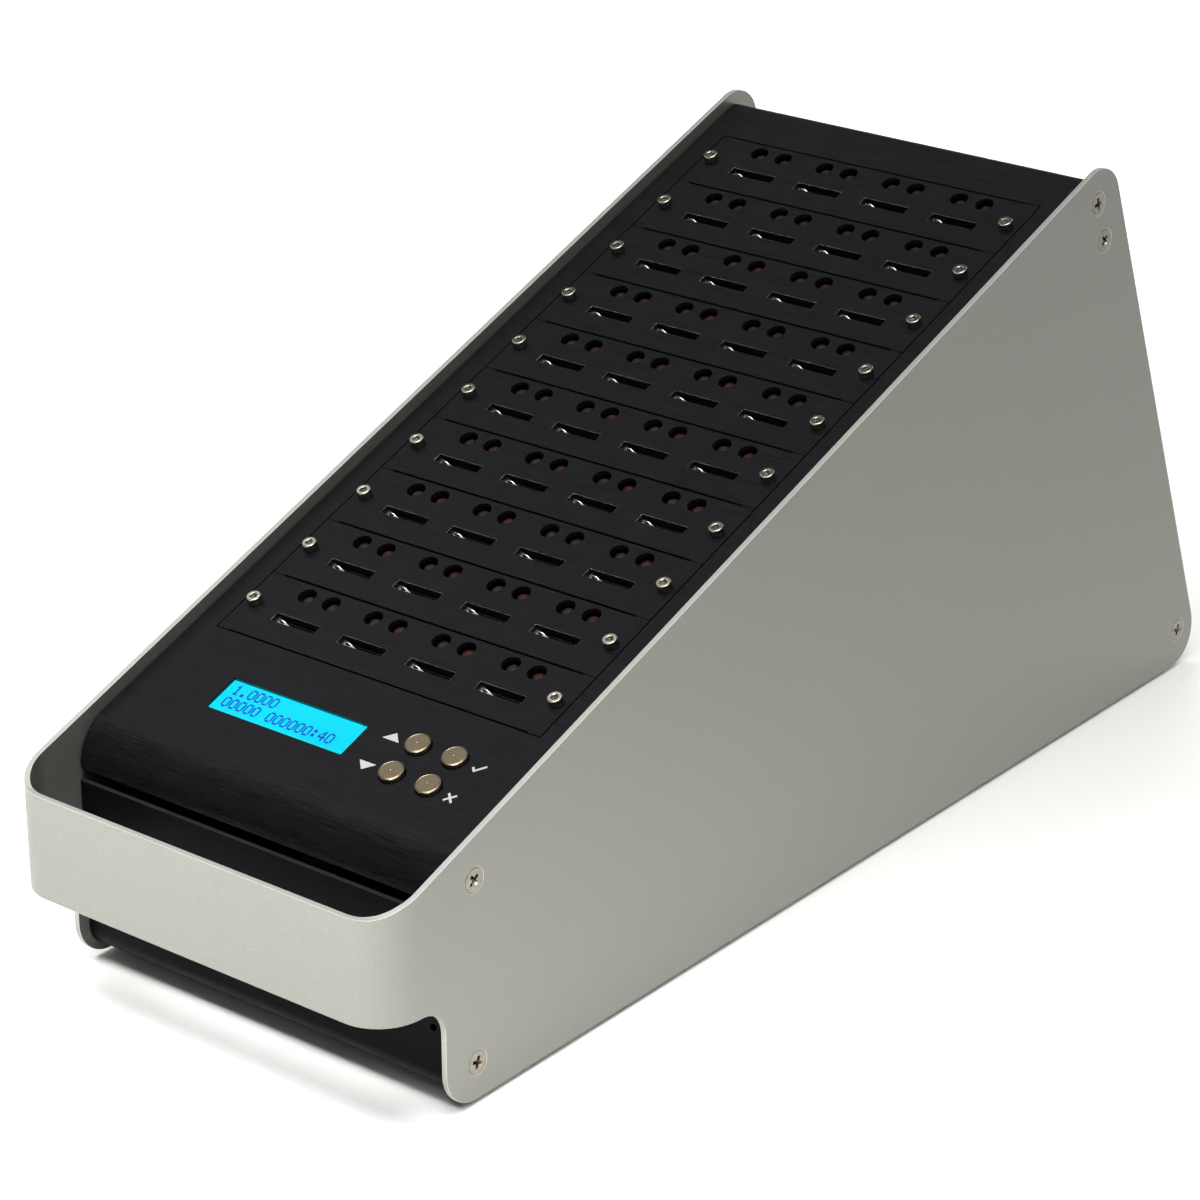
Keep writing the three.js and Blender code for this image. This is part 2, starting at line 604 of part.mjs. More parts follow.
function makePortPlate(row) {
  let plate = block(
    [-plateHalf, plateFront(row), -PLATE_SHEET],
    [plateHalf, plateRear(row), 0],
  );
  for (const x of portPlaces) {
    plate = cut(plate, block(
      [x - SLOT_WIDTH / 2, slotLine(row) - SLOT_HEIGHT / 2, -PLATE_SHEET - OVERRUN],
      [x + SLOT_WIDTH / 2, slotLine(row) + SLOT_HEIGHT / 2, OVERRUN],
    ));
    for (const side of [-1, 1]) {
      plate = cut(plate, bar(
        LED_HOLE_DIAMETER, x + side * (LED_PITCH / 2), ledLine(row),
        -PLATE_SHEET - OVERRUN, OVERRUN, HOLE_SIDES,
      ));
    }
  }
  for (const side of [-1, 1]) {
    plate = cut(plate, bar(
      CAP_SHANK_DIAMETER + 2 * GAP, side * capScrewX, screwLine(row),
      -PLATE_SHEET - OVERRUN, OVERRUN, PIN_SIDES,
    ));
  }
  return plate;
}

// Rail with its row of socket-head screws driven home, holding one end of every plate.
function makeRail(side) {
  const top = -PLATE_SHEET - GAP;
  const bounds = [side * railInnerX, side * railOuterX].sort((a, b) => a - b);
  let rail = block(
    [bounds[0], plateFront(0), top - RAIL_HEIGHT],
    [bounds[1], plateRear(PORT_ROWS - 1), top],
  );
  for (let row = 0; row < PORT_ROWS; row += 1) {
    const x = side * capScrewX;
    const up = screwLine(row);
    const headTop = GAP + CAP_HEAD_HEIGHT;
    const toCorner = HEX_SOCKET_WIDTH / 2 / Math.cos(HALF_TURN / 6);
    const socket = new THREE.CylinderGeometry(toCorner, toCorner, HEX_SOCKET_DEPTH + OVERRUN, 6);
    socket.rotateX(QUARTER_TURN);
    socket.translate(x, up, headTop - HEX_SOCKET_DEPTH + (HEX_SOCKET_DEPTH + OVERRUN) / 2);
    rail = join(
      rail,
      bar(CAP_SHANK_DIAMETER, x, up, top - OVERRUN, GAP + CAP_HEAD_HEIGHT / 4, PIN_SIDES),
      bar(CAP_HEAD_DIAMETER, x, up, GAP, headTop, HOLE_SIDES),
    );
    rail = cut(rail, toSolid(socket));
  }
  return rail;
}

// Port board: four upright card sockets, eight lamps and two posts that meet the plate.
function makePortBoard(row) {
  const half = railInnerX - BOARD_SIDE_SPACE;
  const middle = (plateFront(row) + plateRear(row)) / 2;
  const face = -BOARD_DEPTH;
  const under = -PLATE_SHEET - GAP;
  let board = block(
    [-half, middle - BOARD_LENGTH / 2, face - BOARD_SHEET],
    [half, middle + BOARD_LENGTH / 2, face],
  );
  for (const x of portPlaces) {
    const mouth = [SLOT_WIDTH / 2 + SOCKET_PLAY, SLOT_HEIGHT / 2 + SOCKET_PLAY];
    const shell = mouth.map((value) => value + SOCKET_WALL);
    board = join(board, block(
      [x - shell[0], slotLine(row) - shell[1], face - BOARD_SHEET / 2],
      [x + shell[0], slotLine(row) + shell[1], under],
    ));
    board = cut(board, block(
      [x - mouth[0], slotLine(row) - mouth[1], face + SOCKET_FLOOR],
      [x + mouth[0], slotLine(row) + mouth[1], OVERRUN],
    ));
    for (const side of [-1, 1]) {
      board = join(board, bar(
        LED_DIAMETER, x + side * (LED_PITCH / 2), ledLine(row),
        face - BOARD_SHEET / 2, -LED_RECESS, PIN_SIDES,
      ));
    }
  }
  for (const side of [-1, 1]) {
    const x = side * (half - POST_INSET + POST_DIAMETER / 2);
    board = join(board, bar(POST_DIAMETER, x, middle, face - BOARD_SHEET / 2, under, PIN_SIDES));
  }
  return board;
}

// Keys, two columns by two rows
function keyPlaces() {
  const places = [];
  for (const [rowName, rowSide] of [["upper", 1], ["lower", -1]]) {
    for (const [columnName, columnSide] of [["left", -1], ["right", 1]]) {
      places.push({
        name: `key_${rowName}_${columnName}`,
        x: KEY_CENTRE_X + columnSide * (KEY_PITCH_X / 2),
        up: KEY_CENTRE_UP + rowSide * (KEY_PITCH_UP / 2),
      });
    }
  }
  return places;
}

const keyFlangeTop = -CASE_SHEET - GAP;
const keyFlangeBottom = keyFlangeTop - KEY_FLANGE_SHEET;
const keyStemBottom = keyFlangeBottom - KEY_STEM_LENGTH;
const switchTop = keyStemBottom - KEY_TRAVEL - GAP;
const keyBoardFace = switchTop - SWITCH_HEIGHT;

// Key cap: turned button with a chamfered top, a retaining flange and a stem.
function makeKey(x, up) {
  return turned([
    [0, keyStemBottom], [KEY_STEM_DIAMETER / 2, keyStemBottom], [KEY_STEM_DIAMETER / 2, keyFlangeBottom],
    [KEY_FLANGE_DIAMETER / 2, keyFlangeBottom], [KEY_FLANGE_DIAMETER / 2, keyFlangeTop],
    [KEY_DIAMETER / 2, keyFlangeTop], [KEY_DIAMETER / 2, KEY_PROUD - KEY_DOME],
    [KEY_DIAMETER / 2 - KEY_DOME, KEY_PROUD], [0, KEY_PROUD],
  ]).translate([x, up, 0]);
}

// Key board: four tactile switches on a board hung from the panel by corner posts.
function makeKeyBoard() {
  const half = [KEY_BOARD_WIDTH / 2, KEY_BOARD_HEIGHT / 2];
  let board = block(
    [KEY_CENTRE_X - half[0], KEY_CENTRE_UP - half[1], keyBoardFace - BOARD_SHEET],
    [KEY_CENTRE_X + half[0], KEY_CENTRE_UP + half[1], keyBoardFace],
  );
  for (const { x, up } of keyPlaces()) {
    board = join(board, block(
      [x - SWITCH_SIZE / 2, up - SWITCH_SIZE / 2, keyBoardFace - BOARD_SHEET / 2],
      [x + SWITCH_SIZE / 2, up + SWITCH_SIZE / 2, switchTop],
    ));
  }
  return join(board, ...cornerPosts(KEY_CENTRE_X, KEY_CENTRE_UP, half, keyBoardFace));
}

// Posts from a board's corners up to the panel's underside.
function cornerPosts(x, up, half, face) {
  const posts = [];
  for (const side of [-1, 1]) {
    for (const end of [-1, 1]) {
      posts.push(bar(
        POST_DIAMETER, x + side * (half[0] - POST_DIAMETER / 2), up + end * (half[1] - POST_DIAMETER / 2),
        face - BOARD_SHEET / 2, -CASE_SHEET - GAP, PIN_SIDES,
      ));
    }
  }
  return posts;
}

// Display: clear pane let into the window, on the glass of the display module
const paneBottom = -PANE_RECESS - PANE_SHEET;
const frameTop = -CASE_SHEET - GAP;

// A block as large as the window less a gap all round, between two heights.
function windowBlock(bottom, top) {
  const half = [WINDOW_WIDTH / 2 - GAP, WINDOW_HEIGHT / 2 - GAP];
  return block(
    [DISPLAY_CENTRE_X - half[0], DISPLAY_CENTRE_UP - half[1], bottom],
    [DISPLAY_CENTRE_X + half[0], DISPLAY_CENTRE_UP + half[1], top],
  );
}

function makeDisplay() {
  const half = [DISPLAY_BOARD_WIDTH / 2, DISPLAY_BOARD_HEIGHT / 2];
  const face = frameTop - DISPLAY_FRAME_DEPTH;
  const frameHalf = [DISPLAY_FRAME_WIDTH / 2, DISPLAY_FRAME_HEIGHT / 2];
  const frame = block(
    [DISPLAY_CENTRE_X - frameHalf[0], DISPLAY_CENTRE_UP - frameHalf[1], face - BOARD_SHEET / 2],
    [DISPLAY_CENTRE_X + frameHalf[0], DISPLAY_CENTRE_UP + frameHalf[1], frameTop],
  );
  const board = block(
    [DISPLAY_CENTRE_X - half[0], DISPLAY_CENTRE_UP - half[1], face - BOARD_SHEET],
    [DISPLAY_CENTRE_X + half[0], DISPLAY_CENTRE_UP + half[1], face],
  );
  const glass = windowBlock(face, paneBottom - GAP);
  const posts = cornerPosts(DISPLAY_CENTRE_X, DISPLAY_CENTRE_UP, half, face);
  return join(board, frame, glass, ...posts);
}

// Controller board on four spacers, with chips and a cable header
function makeController() {
  const half = CONTROLLER_WIDTH / 2;
  const face = trayFloor + CONTROLLER_LIFT;
  const rear = CONTROLLER_DEPTH + CONTROLLER_LENGTH;
  const middle = (CONTROLLER_DEPTH + rear) / 2;
  let board = block([-half, CONTROLLER_DEPTH, face - BOARD_SHEET], [half, rear, face]);
  for (const side of [-1, 1]) {
    for (const end of [CONTROLLER_DEPTH + POST_DIAMETER, rear - POST_DIAMETER]) {
      const x = side * (half - POST_DIAMETER);
      board = join(board, bar(
        POST_DIAMETER, x, end, trayFloor + GAP, face - BOARD_SHEET / 2, PIN_SIDES,
      ));
    }
    const x = side * (CHIP_PITCH / 2);
    board = join(board, block(
      [x - CHIP_SIZE / 2, middle - CHIP_SIZE / 2, face - BOARD_SHEET / 2],
      [x + CHIP_SIZE / 2, middle + CHIP_SIZE / 2, face + CHIP_HEIGHT],
    ));
  }
  return join(board, block(
    [-HEADER_WIDTH / 2, CONTROLLER_DEPTH, face - BOARD_SHEET / 2],
    [HEADER_WIDTH / 2, CONTROLLER_DEPTH + HEADER_LENGTH, face + HEADER_HEIGHT],
  ));
}

// Ribbon: up from the controller's header, then along under the port boards.
function makeRibbon() {
  const near = CONTROLLER_DEPTH + HEADER_LENGTH / 2;
  const foot = trayFloor + CONTROLLER_LIFT + HEADER_HEIGHT + GAP;
  const run = -BOARD_DEPTH - BOARD_SHEET - GAP;
  const end = plateRear(PORT_ROWS - 1);
  const across = (depth, rise) => [depth, fromSlope(0, rise)[1]
    + (depth - fromSlope(0, rise)[0]) * Math.tan(SLOPE)];
  return prismX(roundedShape([
    [near, foot], [near + RIBBON_SHEET, foot],
    [...across(near + RIBBON_SHEET, run - RIBBON_SHEET), RIBBON_BEND],
    fromSlope(end, run - RIBBON_SHEET), fromSlope(end, run),
    [...across(near, run), RIBBON_BEND + RIBBON_SHEET],
  ]), -RIBBON_WIDTH / 2, RIBBON_WIDTH / 2);
}

// A round harness that runs straight out of each end and curves between them.
function makeHarness(x, start, startWay, end, endWay) {
  const place = ([depth, height], [toDepth, toHeight], reach) =>
    new THREE.Vector3(x, depth + toDepth * reach, height + toHeight * reach);
  const path = new THREE.CubicBezierCurve3(
    place(start, startWay, 0), place(start, startWay, HARNESS_LEAD),
    place(end, endWay, HARNESS_LEAD), place(end, endWay, 0),
  );
  const section = new THREE.Shape();
  section.absarc(0, 0, HARNESS_DIAMETER / 2, 0, 2 * HALF_TURN, false);
  const points = section.getPoints(PIN_SIDES / 2).slice(0, PIN_SIDES);
  return toSolid(new THREE.ExtrudeGeometry(new THREE.Shape(points), {
    steps: HARNESS_STEPS,
    bevelEnabled: false,
    extrudePath: path,
  }));
}

// The straight harness from the controller board to the supply.
function makeSupplyHarness() {
  const height = trayFloor + CONTROLLER_LIFT + HARNESS_DIAMETER;
  const front = CONTROLLER_DEPTH + CONTROLLER_LENGTH - HARNESS_LEAD;
  return bar(HARNESS_DIAMETER, 0, 0, 0, SUPPLY_DEPTH - GAP - front, PIN_SIDES)
    .rotate([-90, 0, 0])
    .translate([0, front, height]);
}

function makeMainsHarness() {
  const height = trayFloor + GAP + SUPPLY_HEIGHT / 2;
  const rear = SUPPLY_DEPTH + SUPPLY_LENGTH + GAP;
  const inletBack = fromSlope(rearFace - INLET_BODY_DEPTH - GAP, rearBottomRise + INLET_CENTRE_UP);
  return makeHarness(
    INLET_CENTRE_X, [rear, height], [1, 0], inletBack, [-Math.cos(SLOPE), -Math.sin(SLOPE)],
  );
}

// Power supply: a vented steel box on the tray
function makeSupply() {
  const half = SUPPLY_WIDTH / 2;
  const bottom = trayFloor + GAP;
  const rear = SUPPLY_DEPTH + SUPPLY_LENGTH;
  const top = bottom + SUPPLY_HEIGHT;
  let supply = cut(
    block([-half, SUPPLY_DEPTH, bottom], [half, rear, top]),
    block(
      [SUPPLY_SHEET - half, SUPPLY_DEPTH + SUPPLY_SHEET, bottom + SUPPLY_SHEET],
      [half - SUPPLY_SHEET, rear - SUPPLY_SHEET, top - SUPPLY_SHEET],
    ),
  );
  const pitch = SUPPLY_LENGTH / (SUPPLY_VENT_COUNT + 1);
  for (let index = 1; index <= SUPPLY_VENT_COUNT; index += 1) {
    const y = SUPPLY_DEPTH + index * pitch;
    supply = cut(supply, block(
      [-half / 2, y - SUPPLY_VENT_WIDTH / 2, top - SUPPLY_SHEET - OVERRUN],
      [half / 2, y + SUPPLY_VENT_WIDTH / 2, top + OVERRUN],
    ));
  }
  return supply;
}

// Pieces on the rear panel are drawn standing on it: Z out of the unit's rear, X across,
// and Y down the panel. This turns them into the slope's frame.
function onRearPanel(solid, x, rise) {
  return solid.rotate([-90, 0, 0]).translate([x, rearFace, rise]);
}

const fanFront = -CASE_SHEET - GAP; // the frame's face against the panel's inner face
const fanBack = fanFront - FAN_THICKNESS;
const hubTop = fanFront - OVERRUN;
const hubBottom = hubTop - FAN_HUB_DEPTH;

function makeFanFrame() {
  const half = FAN_SIZE / 2;
  const frame = cut(
    block([-half, -half, fanBack], [half, half, fanFront]),
    bar(FAN_BORE_DIAMETER, 0, 0, fanBack - OVERRUN, fanFront + OVERRUN, 2 * ROUND_SIDES),
  );
  const arms = [0, 1].map((turn) =>
    block([-half, -FAN_ARM_WIDTH / 2, fanBack], [half, FAN_ARM_WIDTH / 2, fanBack + FAN_ARM_SHEET])
      .rotate([0, 0, turn * 90]));
  const cup = bar(FAN_CUP_DIAMETER, 0, 0, fanBack, fanBack + FAN_ARM_SHEET, ROUND_SIDES);
  const pin = bar(FAN_PIN_DIAMETER, 0, 0, fanBack, (hubTop + hubBottom) / 2, HOLE_SIDES);
  return join(frame, ...arms, cup, pin);
}

function makeFanRotor() {
  const hub = bar(FAN_HUB_DIAMETER, 0, 0, hubBottom, hubTop, ROUND_SIDES);
  const reach = FAN_BORE_DIAMETER / 2 - FAN_TIP_SPACE;
  const blades = Array.from({ length: FAN_BLADES }, (_, index) =>
    block(
      [FAN_HUB_DIAMETER / 2 - OVERRUN, -FAN_BLADE_CHORD / 2, -FAN_BLADE_SHEET / 2],
      [reach - FAN_TIP_SPACE, FAN_BLADE_CHORD / 2, FAN_BLADE_SHEET / 2],
    ).rotate([FAN_BLADE_PITCH_DEG, 0, 0])
      .translate([0, 0, (hubTop + hubBottom) / 2])
      .rotate([0, 0, (index * 360) / FAN_BLADES]));
  const well = bar(
    FAN_PIN_DIAMETER + 2 * FAN_RUNNING_SPACE, 0, 0,
    hubBottom - OVERRUN, (hubTop + hubBottom) / 2 + FAN_RUNNING_SPACE, HOLE_SIDES,
  );
  return cut(join(hub, ...blades), well);
}

function makeInlet() {
  const flange = block(
    [-INLET_FLANGE_WIDTH / 2, -INLET_FLANGE_HEIGHT / 2, GAP],
    [INLET_FLANGE_WIDTH / 2, INLET_FLANGE_HEIGHT / 2, GAP + INLET_FLANGE_SHEET],
  );
  const face = GAP + INLET_FLANGE_SHEET;
  const body = block(
    [-INLET_BODY_WIDTH / 2, -INLET_BODY_HEIGHT / 2, -INLET_BODY_DEPTH],
    [INLET_BODY_WIDTH / 2, INLET_BODY_HEIGHT / 2, face],
  );
  const floor = face - INLET_MOUTH_DEPTH;
  const mouth = block(
    [-INLET_MOUTH_WIDTH / 2, -INLET_MOUTH_HEIGHT / 2, floor],
    [INLET_MOUTH_WIDTH / 2, INLET_MOUTH_HEIGHT / 2, face + OVERRUN],
  );
  const blades = [[-BLADE_PITCH / 2, 1], [0, -1], [BLADE_PITCH / 2, 1]].map(([x, side]) => block(
    [x - BLADE_WIDTH / 2, side * (BLADE_HEIGHT / 2) - BLADE_HEIGHT / 2, floor - OVERRUN],
    [x + BLADE_WIDTH / 2, side * (BLADE_HEIGHT / 2) + BLADE_HEIGHT / 2, floor + BLADE_LENGTH],
  ));
  return join(cut(join(flange, body), mouth), ...blades);
}

function housingSize() {
  return {
    width: ROCKER_WIDTH + 2 * (ROCKER_SPACE + HOUSING_WALL),
    height: ROCKER_LENGTH + 2 * (ROCKER_SPACE + HOUSING_WALL),
  };
}

// Switch housing: a rimmed cup with a cross pin for the rocker
function makeSwitchHousing() {
  const { width, height } = housingSize();
  const face = GAP + HOUSING_RIM_SHEET;
  const rim = block(
    [-width / 2 - HOUSING_RIM, -height / 2 - HOUSING_RIM, GAP],
    [width / 2 + HOUSING_RIM, height / 2 + HOUSING_RIM, face],
  );
  const body = block([-width / 2, -height / 2, -HOUSING_DEPTH], [width / 2, height / 2, face]);
  const well = block(
    [-width / 2 + HOUSING_WALL, -height / 2 + HOUSING_WALL, -HOUSING_DEPTH + HOUSING_WALL],
    [width / 2 - HOUSING_WALL, height / 2 - HOUSING_WALL, face + OVERRUN],
  );
  const pinReach = (width - HOUSING_WALL) / 2;
  const pin = bar(ROCKER_PIN_DIAMETER, 0, 0, -pinReach, pinReach, HOLE_SIDES).rotate([0, 90, 0]);
  return join(cut(join(rim, body), well), pin);
}

// Rocker: a shallow V that tips about the cross pin
function makeRocker() {
  const reach = ROCKER_LENGTH / 2;
  const fall = reach * Math.tan(THREE.MathUtils.degToRad(ROCKER_TILT_DEG));
  const outline = roundedShape([
    [-reach, -fall], [0, -ROCKER_DEPTH], [reach, -fall],
    [reach, ROCKER_DEPTH / 2], [0, ROCKER_DEPTH / 2 - fall], [-reach, ROCKER_DEPTH / 2],
  ]);
  const bore = bar(
    ROCKER_PIN_DIAMETER + 2 * GAP, 0, 0, -ROCKER_WIDTH / 2 - OVERRUN, ROCKER_WIDTH / 2 + OVERRUN, HOLE_SIDES,
  ).rotate([0, 90, 0]);
  return cut(prismX(outline, -ROCKER_WIDTH / 2, ROCKER_WIDTH / 2), bore)
    .rotate([ROCKER_TILT_DEG, 0, 0]);
}

// Rubber feet pushed into the tray
function footPlaces() {
  const places = [];
  for (const [endName, depth] of [["front", FOOT_FRONT_DEPTH], ["rear", FOOT_REAR_DEPTH]]) {
    for (const [sideName, side] of [["left", -1], ["right", 1]]) {
      places.push({ name: `foot_${endName}_${sideName}`, x: side * (WIDTH / 2 - FOOT_INSET_X), depth });
    }
  }
  return places;
}

function makeFoot({ x, depth }) {
  const pad = bar(FOOT_TOP_DIAMETER, x, depth, 0, TRAY_BOTTOM - GAP, ROUND_SIDES, FOOT_DIAMETER);
  const stem = bar(
    FOOT_STEM_DIAMETER, x, depth, TRAY_BOTTOM / 2, trayFloor + FOOT_STEM_LENGTH - CASE_SHEET, HOLE_SIDES,
  );
  return join(pad, stem);
}

// The whole unit
addPiece(assembly, "outer_wrap", makeWrap(), silverSheet);
addPiece(assembly, "bottom_tray", makeTray(), blackSheet);
addPiece(slope, "top_panel", makeTopPanel(), blackSheet);
addPiece(slope, "rear_panel", makeRearPanel(), blackSheet);
for (const [sideName, side] of [["left", -1], ["right", 1]]) {
  for (const { name, place } of sideScrews) {
    addPiece(assembly, `side_screw_${sideName}_${name}`, toSide(makeSideScrew(), side, ...place), zincSteel);
  }
  addPiece(slope, `plate_rail_${sideName}`, makeRail(side), railAluminium);
}
for (let row = 0; row < PORT_ROWS; row += 1) {
  const number = String(row + 1).padStart(2, "0");
  addPiece(slope, `port_plate_${number}`, makePortPlate(row), blackSheet);
  addPiece(slope, `port_board_${number}`, makePortBoard(row), greenBoard);
}
for (const { name, x, up } of keyPlaces()) {
  addPiece(slope, name, makeKey(x, up), nickel);
}
addPiece(slope, "key_board", makeKeyBoard(), greenBoard);
addPiece(slope, "display_pane", windowBlock(paneBottom, -PANE_RECESS), clearPane);
addPiece(slope, "display_module", makeDisplay(), displayGlow);
addPiece(assembly, "controller_board", makeController(), greenBoard);
addPiece(assembly, "power_supply", makeSupply(), steelBox);
addPiece(assembly, "port_ribbon", makeRibbon(), plastic);
addPiece(assembly, "supply_harness", makeSupplyHarness(), plastic);
addPiece(assembly, "mains_harness", makeMainsHarness(), plastic);
addPiece(slope, "fan_frame", onRearPanel(makeFanFrame(), 0, -FAN_CENTRE_DOWN), plastic);
addPiece(slope, "fan_rotor", onRearPanel(makeFanRotor(), 0, -FAN_CENTRE_DOWN), plastic);
const inletRise = rearBottomRise + INLET_CENTRE_UP;
addPiece(slope, "power_inlet", onRearPanel(makeInlet(), INLET_CENTRE_X, inletRise), plastic);
addPiece(slope, "switch_housing", onRearPanel(makeSwitchHousing(), ROCKER_CENTRE_X, inletRise), plastic);
addPiece(slope, "power_rocker", onRearPanel(makeRocker(), ROCKER_CENTRE_X, inletRise), plastic);
for (const place of footPlaces()) {
  addPiece(assembly, place.name, makeFoot(place), rubber);
}

// The origin is the bottom centre of the whole unit.
assembly.updateMatrixWorld(true);
const whole = new THREE.Box3().setFromObject(assembly);
assembly.position.set(-(whole.min.x + whole.max.x) / 2, -(whole.min.y + whole.max.y) / 2, -whole.min.z);

export default assembly;
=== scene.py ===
"""The looks of a memory card duplicator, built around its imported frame.

One bright bent sheet makes both side walls and the handle in front. The black case between
the walls carries ten plates with four card slots each, a lit display, four keys, and the
mains fittings at the rear. Sizes are in millimetres; +X is right, +Y back and +Z up.
"""

import logging
import math
from collections.abc import Callable, Iterator, Mapping, Sequence
from contextlib import contextmanager
from dataclasses import dataclass, field
from enum import Enum
from typing import Any

import bmesh
import bpy
from mathutils import Matrix, Vector


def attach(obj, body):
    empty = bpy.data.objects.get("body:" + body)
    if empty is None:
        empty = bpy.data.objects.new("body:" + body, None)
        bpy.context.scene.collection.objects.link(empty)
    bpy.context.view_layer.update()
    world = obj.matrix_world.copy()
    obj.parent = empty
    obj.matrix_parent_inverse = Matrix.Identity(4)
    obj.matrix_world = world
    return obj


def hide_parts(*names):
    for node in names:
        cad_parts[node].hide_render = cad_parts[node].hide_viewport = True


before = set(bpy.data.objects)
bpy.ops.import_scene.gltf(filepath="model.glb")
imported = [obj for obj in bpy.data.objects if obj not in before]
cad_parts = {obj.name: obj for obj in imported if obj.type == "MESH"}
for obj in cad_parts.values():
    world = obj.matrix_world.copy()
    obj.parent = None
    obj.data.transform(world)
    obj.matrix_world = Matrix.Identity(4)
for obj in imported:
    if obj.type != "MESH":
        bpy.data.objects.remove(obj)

Piece = bpy.types.Object
Tree = bpy.types.NodeTree
Node = bpy.types.Node
Socket = bpy.types.NodeSocket
Edge = bmesh.types.BMEdge
Pair = tuple[float, float]
Triple = tuple[float, float, float]
Grain = float | Triple

MM = 0.001
SIDES = ((-1, "left"), (1, "right"))
# The least share of a unit vector along an axis that counts as aligned, and as level
ALIGNED = 0.9
LEVEL = 0.99
# Between touching pieces, and where the pieces under the top sheet start, in millimetres
GAP = 0.3
UNDER = -2.3
# How far a cutter reaches past a sheet, and the depth that the rear end starts at
CLEAR = 5
REAR_END = 400
# The middle of the range that noise covers, drawn out to the whole range
NOISE_SPAN = {"From Min": 0.3, "From Max": 0.7}
log = logging.getLogger("duplicator")


# Names


class Body(Enum):
    """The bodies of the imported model."""

    CASING = "casing"
    FAN = "fan_rotor"
    ROCKER = "power_rocker"


class Slot(Enum):
    """The record's material slots."""

    WRAP = "wrap_silver"
    CASE = "case_black"
    KEY = "key_nickel"
    SCREW = "screw_zinc"
    RAIL = "rail_aluminium"
    BOARD = "board_green"
    DISPLAY = "display_cyan"
    PANE = "pane_clear"
    STEEL = "supply_steel"
    PLASTIC = "plastic_black"
    RUBBER = "foot_rubber"


class Part(Enum):
    """What an edit-mode selection is made of."""

    FACE = "FACE"
    EDGE = "EDGE"
    VERT = "VERT"


# Modelling by operators


def deselect() -> None:
    """Leaves nothing selected."""
    bpy.ops.object.select_all(action="DESELECT")


def only(*pieces: Piece) -> None:
    """Selects some pieces alone.

    Args:
        *pieces: what is selected, the first one active.
    """
    deselect()
    for piece in pieces:
        piece.select_set(True)
    bpy.context.view_layer.objects.active = pieces[0]


@contextmanager
def editing(piece: Piece) -> Iterator[None]:
    """Opens a piece in edit mode with nothing selected, and closes it again.

    Args:
        piece: what is edited.

    Returns:
        The context.
    """
    only(piece)
    bpy.ops.object.mode_set(mode="EDIT")
    bpy.ops.mesh.select_all(action="DESELECT")
    yield
    bpy.ops.object.mode_set(mode="OBJECT")


def middle(element: bmesh.types.BMFace | Edge | bmesh.types.BMVert) -> Vector:
    """The middle of a face or an edge, or a vertex's place, in millimetres."""
    corners = [element] if isinstance(element, bmesh.types.BMVert) else element.verts
    return sum((corner.co for corner in corners), Vector()) / len(corners) / MM


def way(edge: Edge) -> Vector:
    """The direction an edge runs in."""
    return (edge.verts[1].co - edge.verts[0].co).normalized()


def runs(edge: Edge, axis: str) -> bool:
    """Whether an edge runs along an axis."""
    return abs(getattr(way(edge), axis)) > ALIGNED


def pick(part: Part, test: Callable[[Any], bool]) -> int:
    """Selects what passes a test in the mesh being edited.

    Args:
        part: faces, edges or vertices.
        test: tells of one of them whether it is wanted.

    Returns:
        How many were selected.
    """
    bpy.ops.mesh.select_mode(type=part.value)
    bpy.ops.mesh.select_all(action="DESELECT")
    data = bpy.context.edit_object.data
    mesh = bmesh.from_edit_mesh(data)
    kinds = {Part.FACE: mesh.faces, Part.EDGE: mesh.edges, Part.VERT: mesh.verts}
    found = [element for element in kinds[part] if test(element)]
    for element in found:
        element.select_set(True)
    bmesh.update_edit_mesh(data)
    return len(found)


def pick_ends(sign: int, limit: float = ALIGNED, corners: int = 0) -> None:
    """Selects the faces that look up, or down, and have more than a number of corners."""
    pick(Part.FACE, lambda face: sign * face.normal.z > limit and len(face.verts) > corners)


def push(lift: float, share: float | None = None) -> None:
    """Extrudes the selected faces along Z.

    Args:
        lift: how far, in millimetres.
        share: scale of the new faces across, where they are scaled.
    """
    bpy.ops.mesh.extrude_region_move(TRANSFORM_OT_translate={"value": (0, 0, lift * MM)})
    if share is not None:
        bpy.ops.transform.resize(value=(share, share, 1))


def round_edges(test: Callable[[Any], bool], reach: float, segments: int) -> None:
    """Bevels the edges that pass a test, in the mesh being edited.

    Args:
        test: tells of an edge whether it is wanted.
        reach: from the edge to where the rounding starts, in millimetres.
        segments: steps in the rounding.
    """
    if pick(Part.EDGE, test):
        bpy.ops.mesh.bevel(
            offset_type="OFFSET", offset=reach * MM, segments=segments, profile=0.5,
            affect="EDGES", clamp_overlap=False)


def round_corners(piece: Piece, reach: float, segments: int) -> Piece:
    """Bevels a piece's upright edges.

    Args:
        piece: what is rounded.
        reach: from the edge to where the rounding starts, in millimetres.
        segments: steps in the rounding.

    Returns:
        The piece.
    """
    with editing(piece):
        round_edges(lambda edge: runs(edge, "z"), reach, segments)
    return piece


def slice_off(place: Sequence[float], normal: Sequence[float], keep_both: bool = False) -> None:
    """Bisects the mesh being edited with a plane and drops what lies on its far side.

    Args:
        place: a point of the plane, in millimetres.
        normal: the plane's normal, towards what is dropped.
        keep_both: only draws the cut's edges and drops nothing.
    """
    bpy.ops.mesh.select_all(action="SELECT")
    bpy.ops.mesh.bisect(
        plane_co=Vector(place) * MM, plane_no=Vector(normal), use_fill=not keep_both,
        clear_outer=not keep_both)


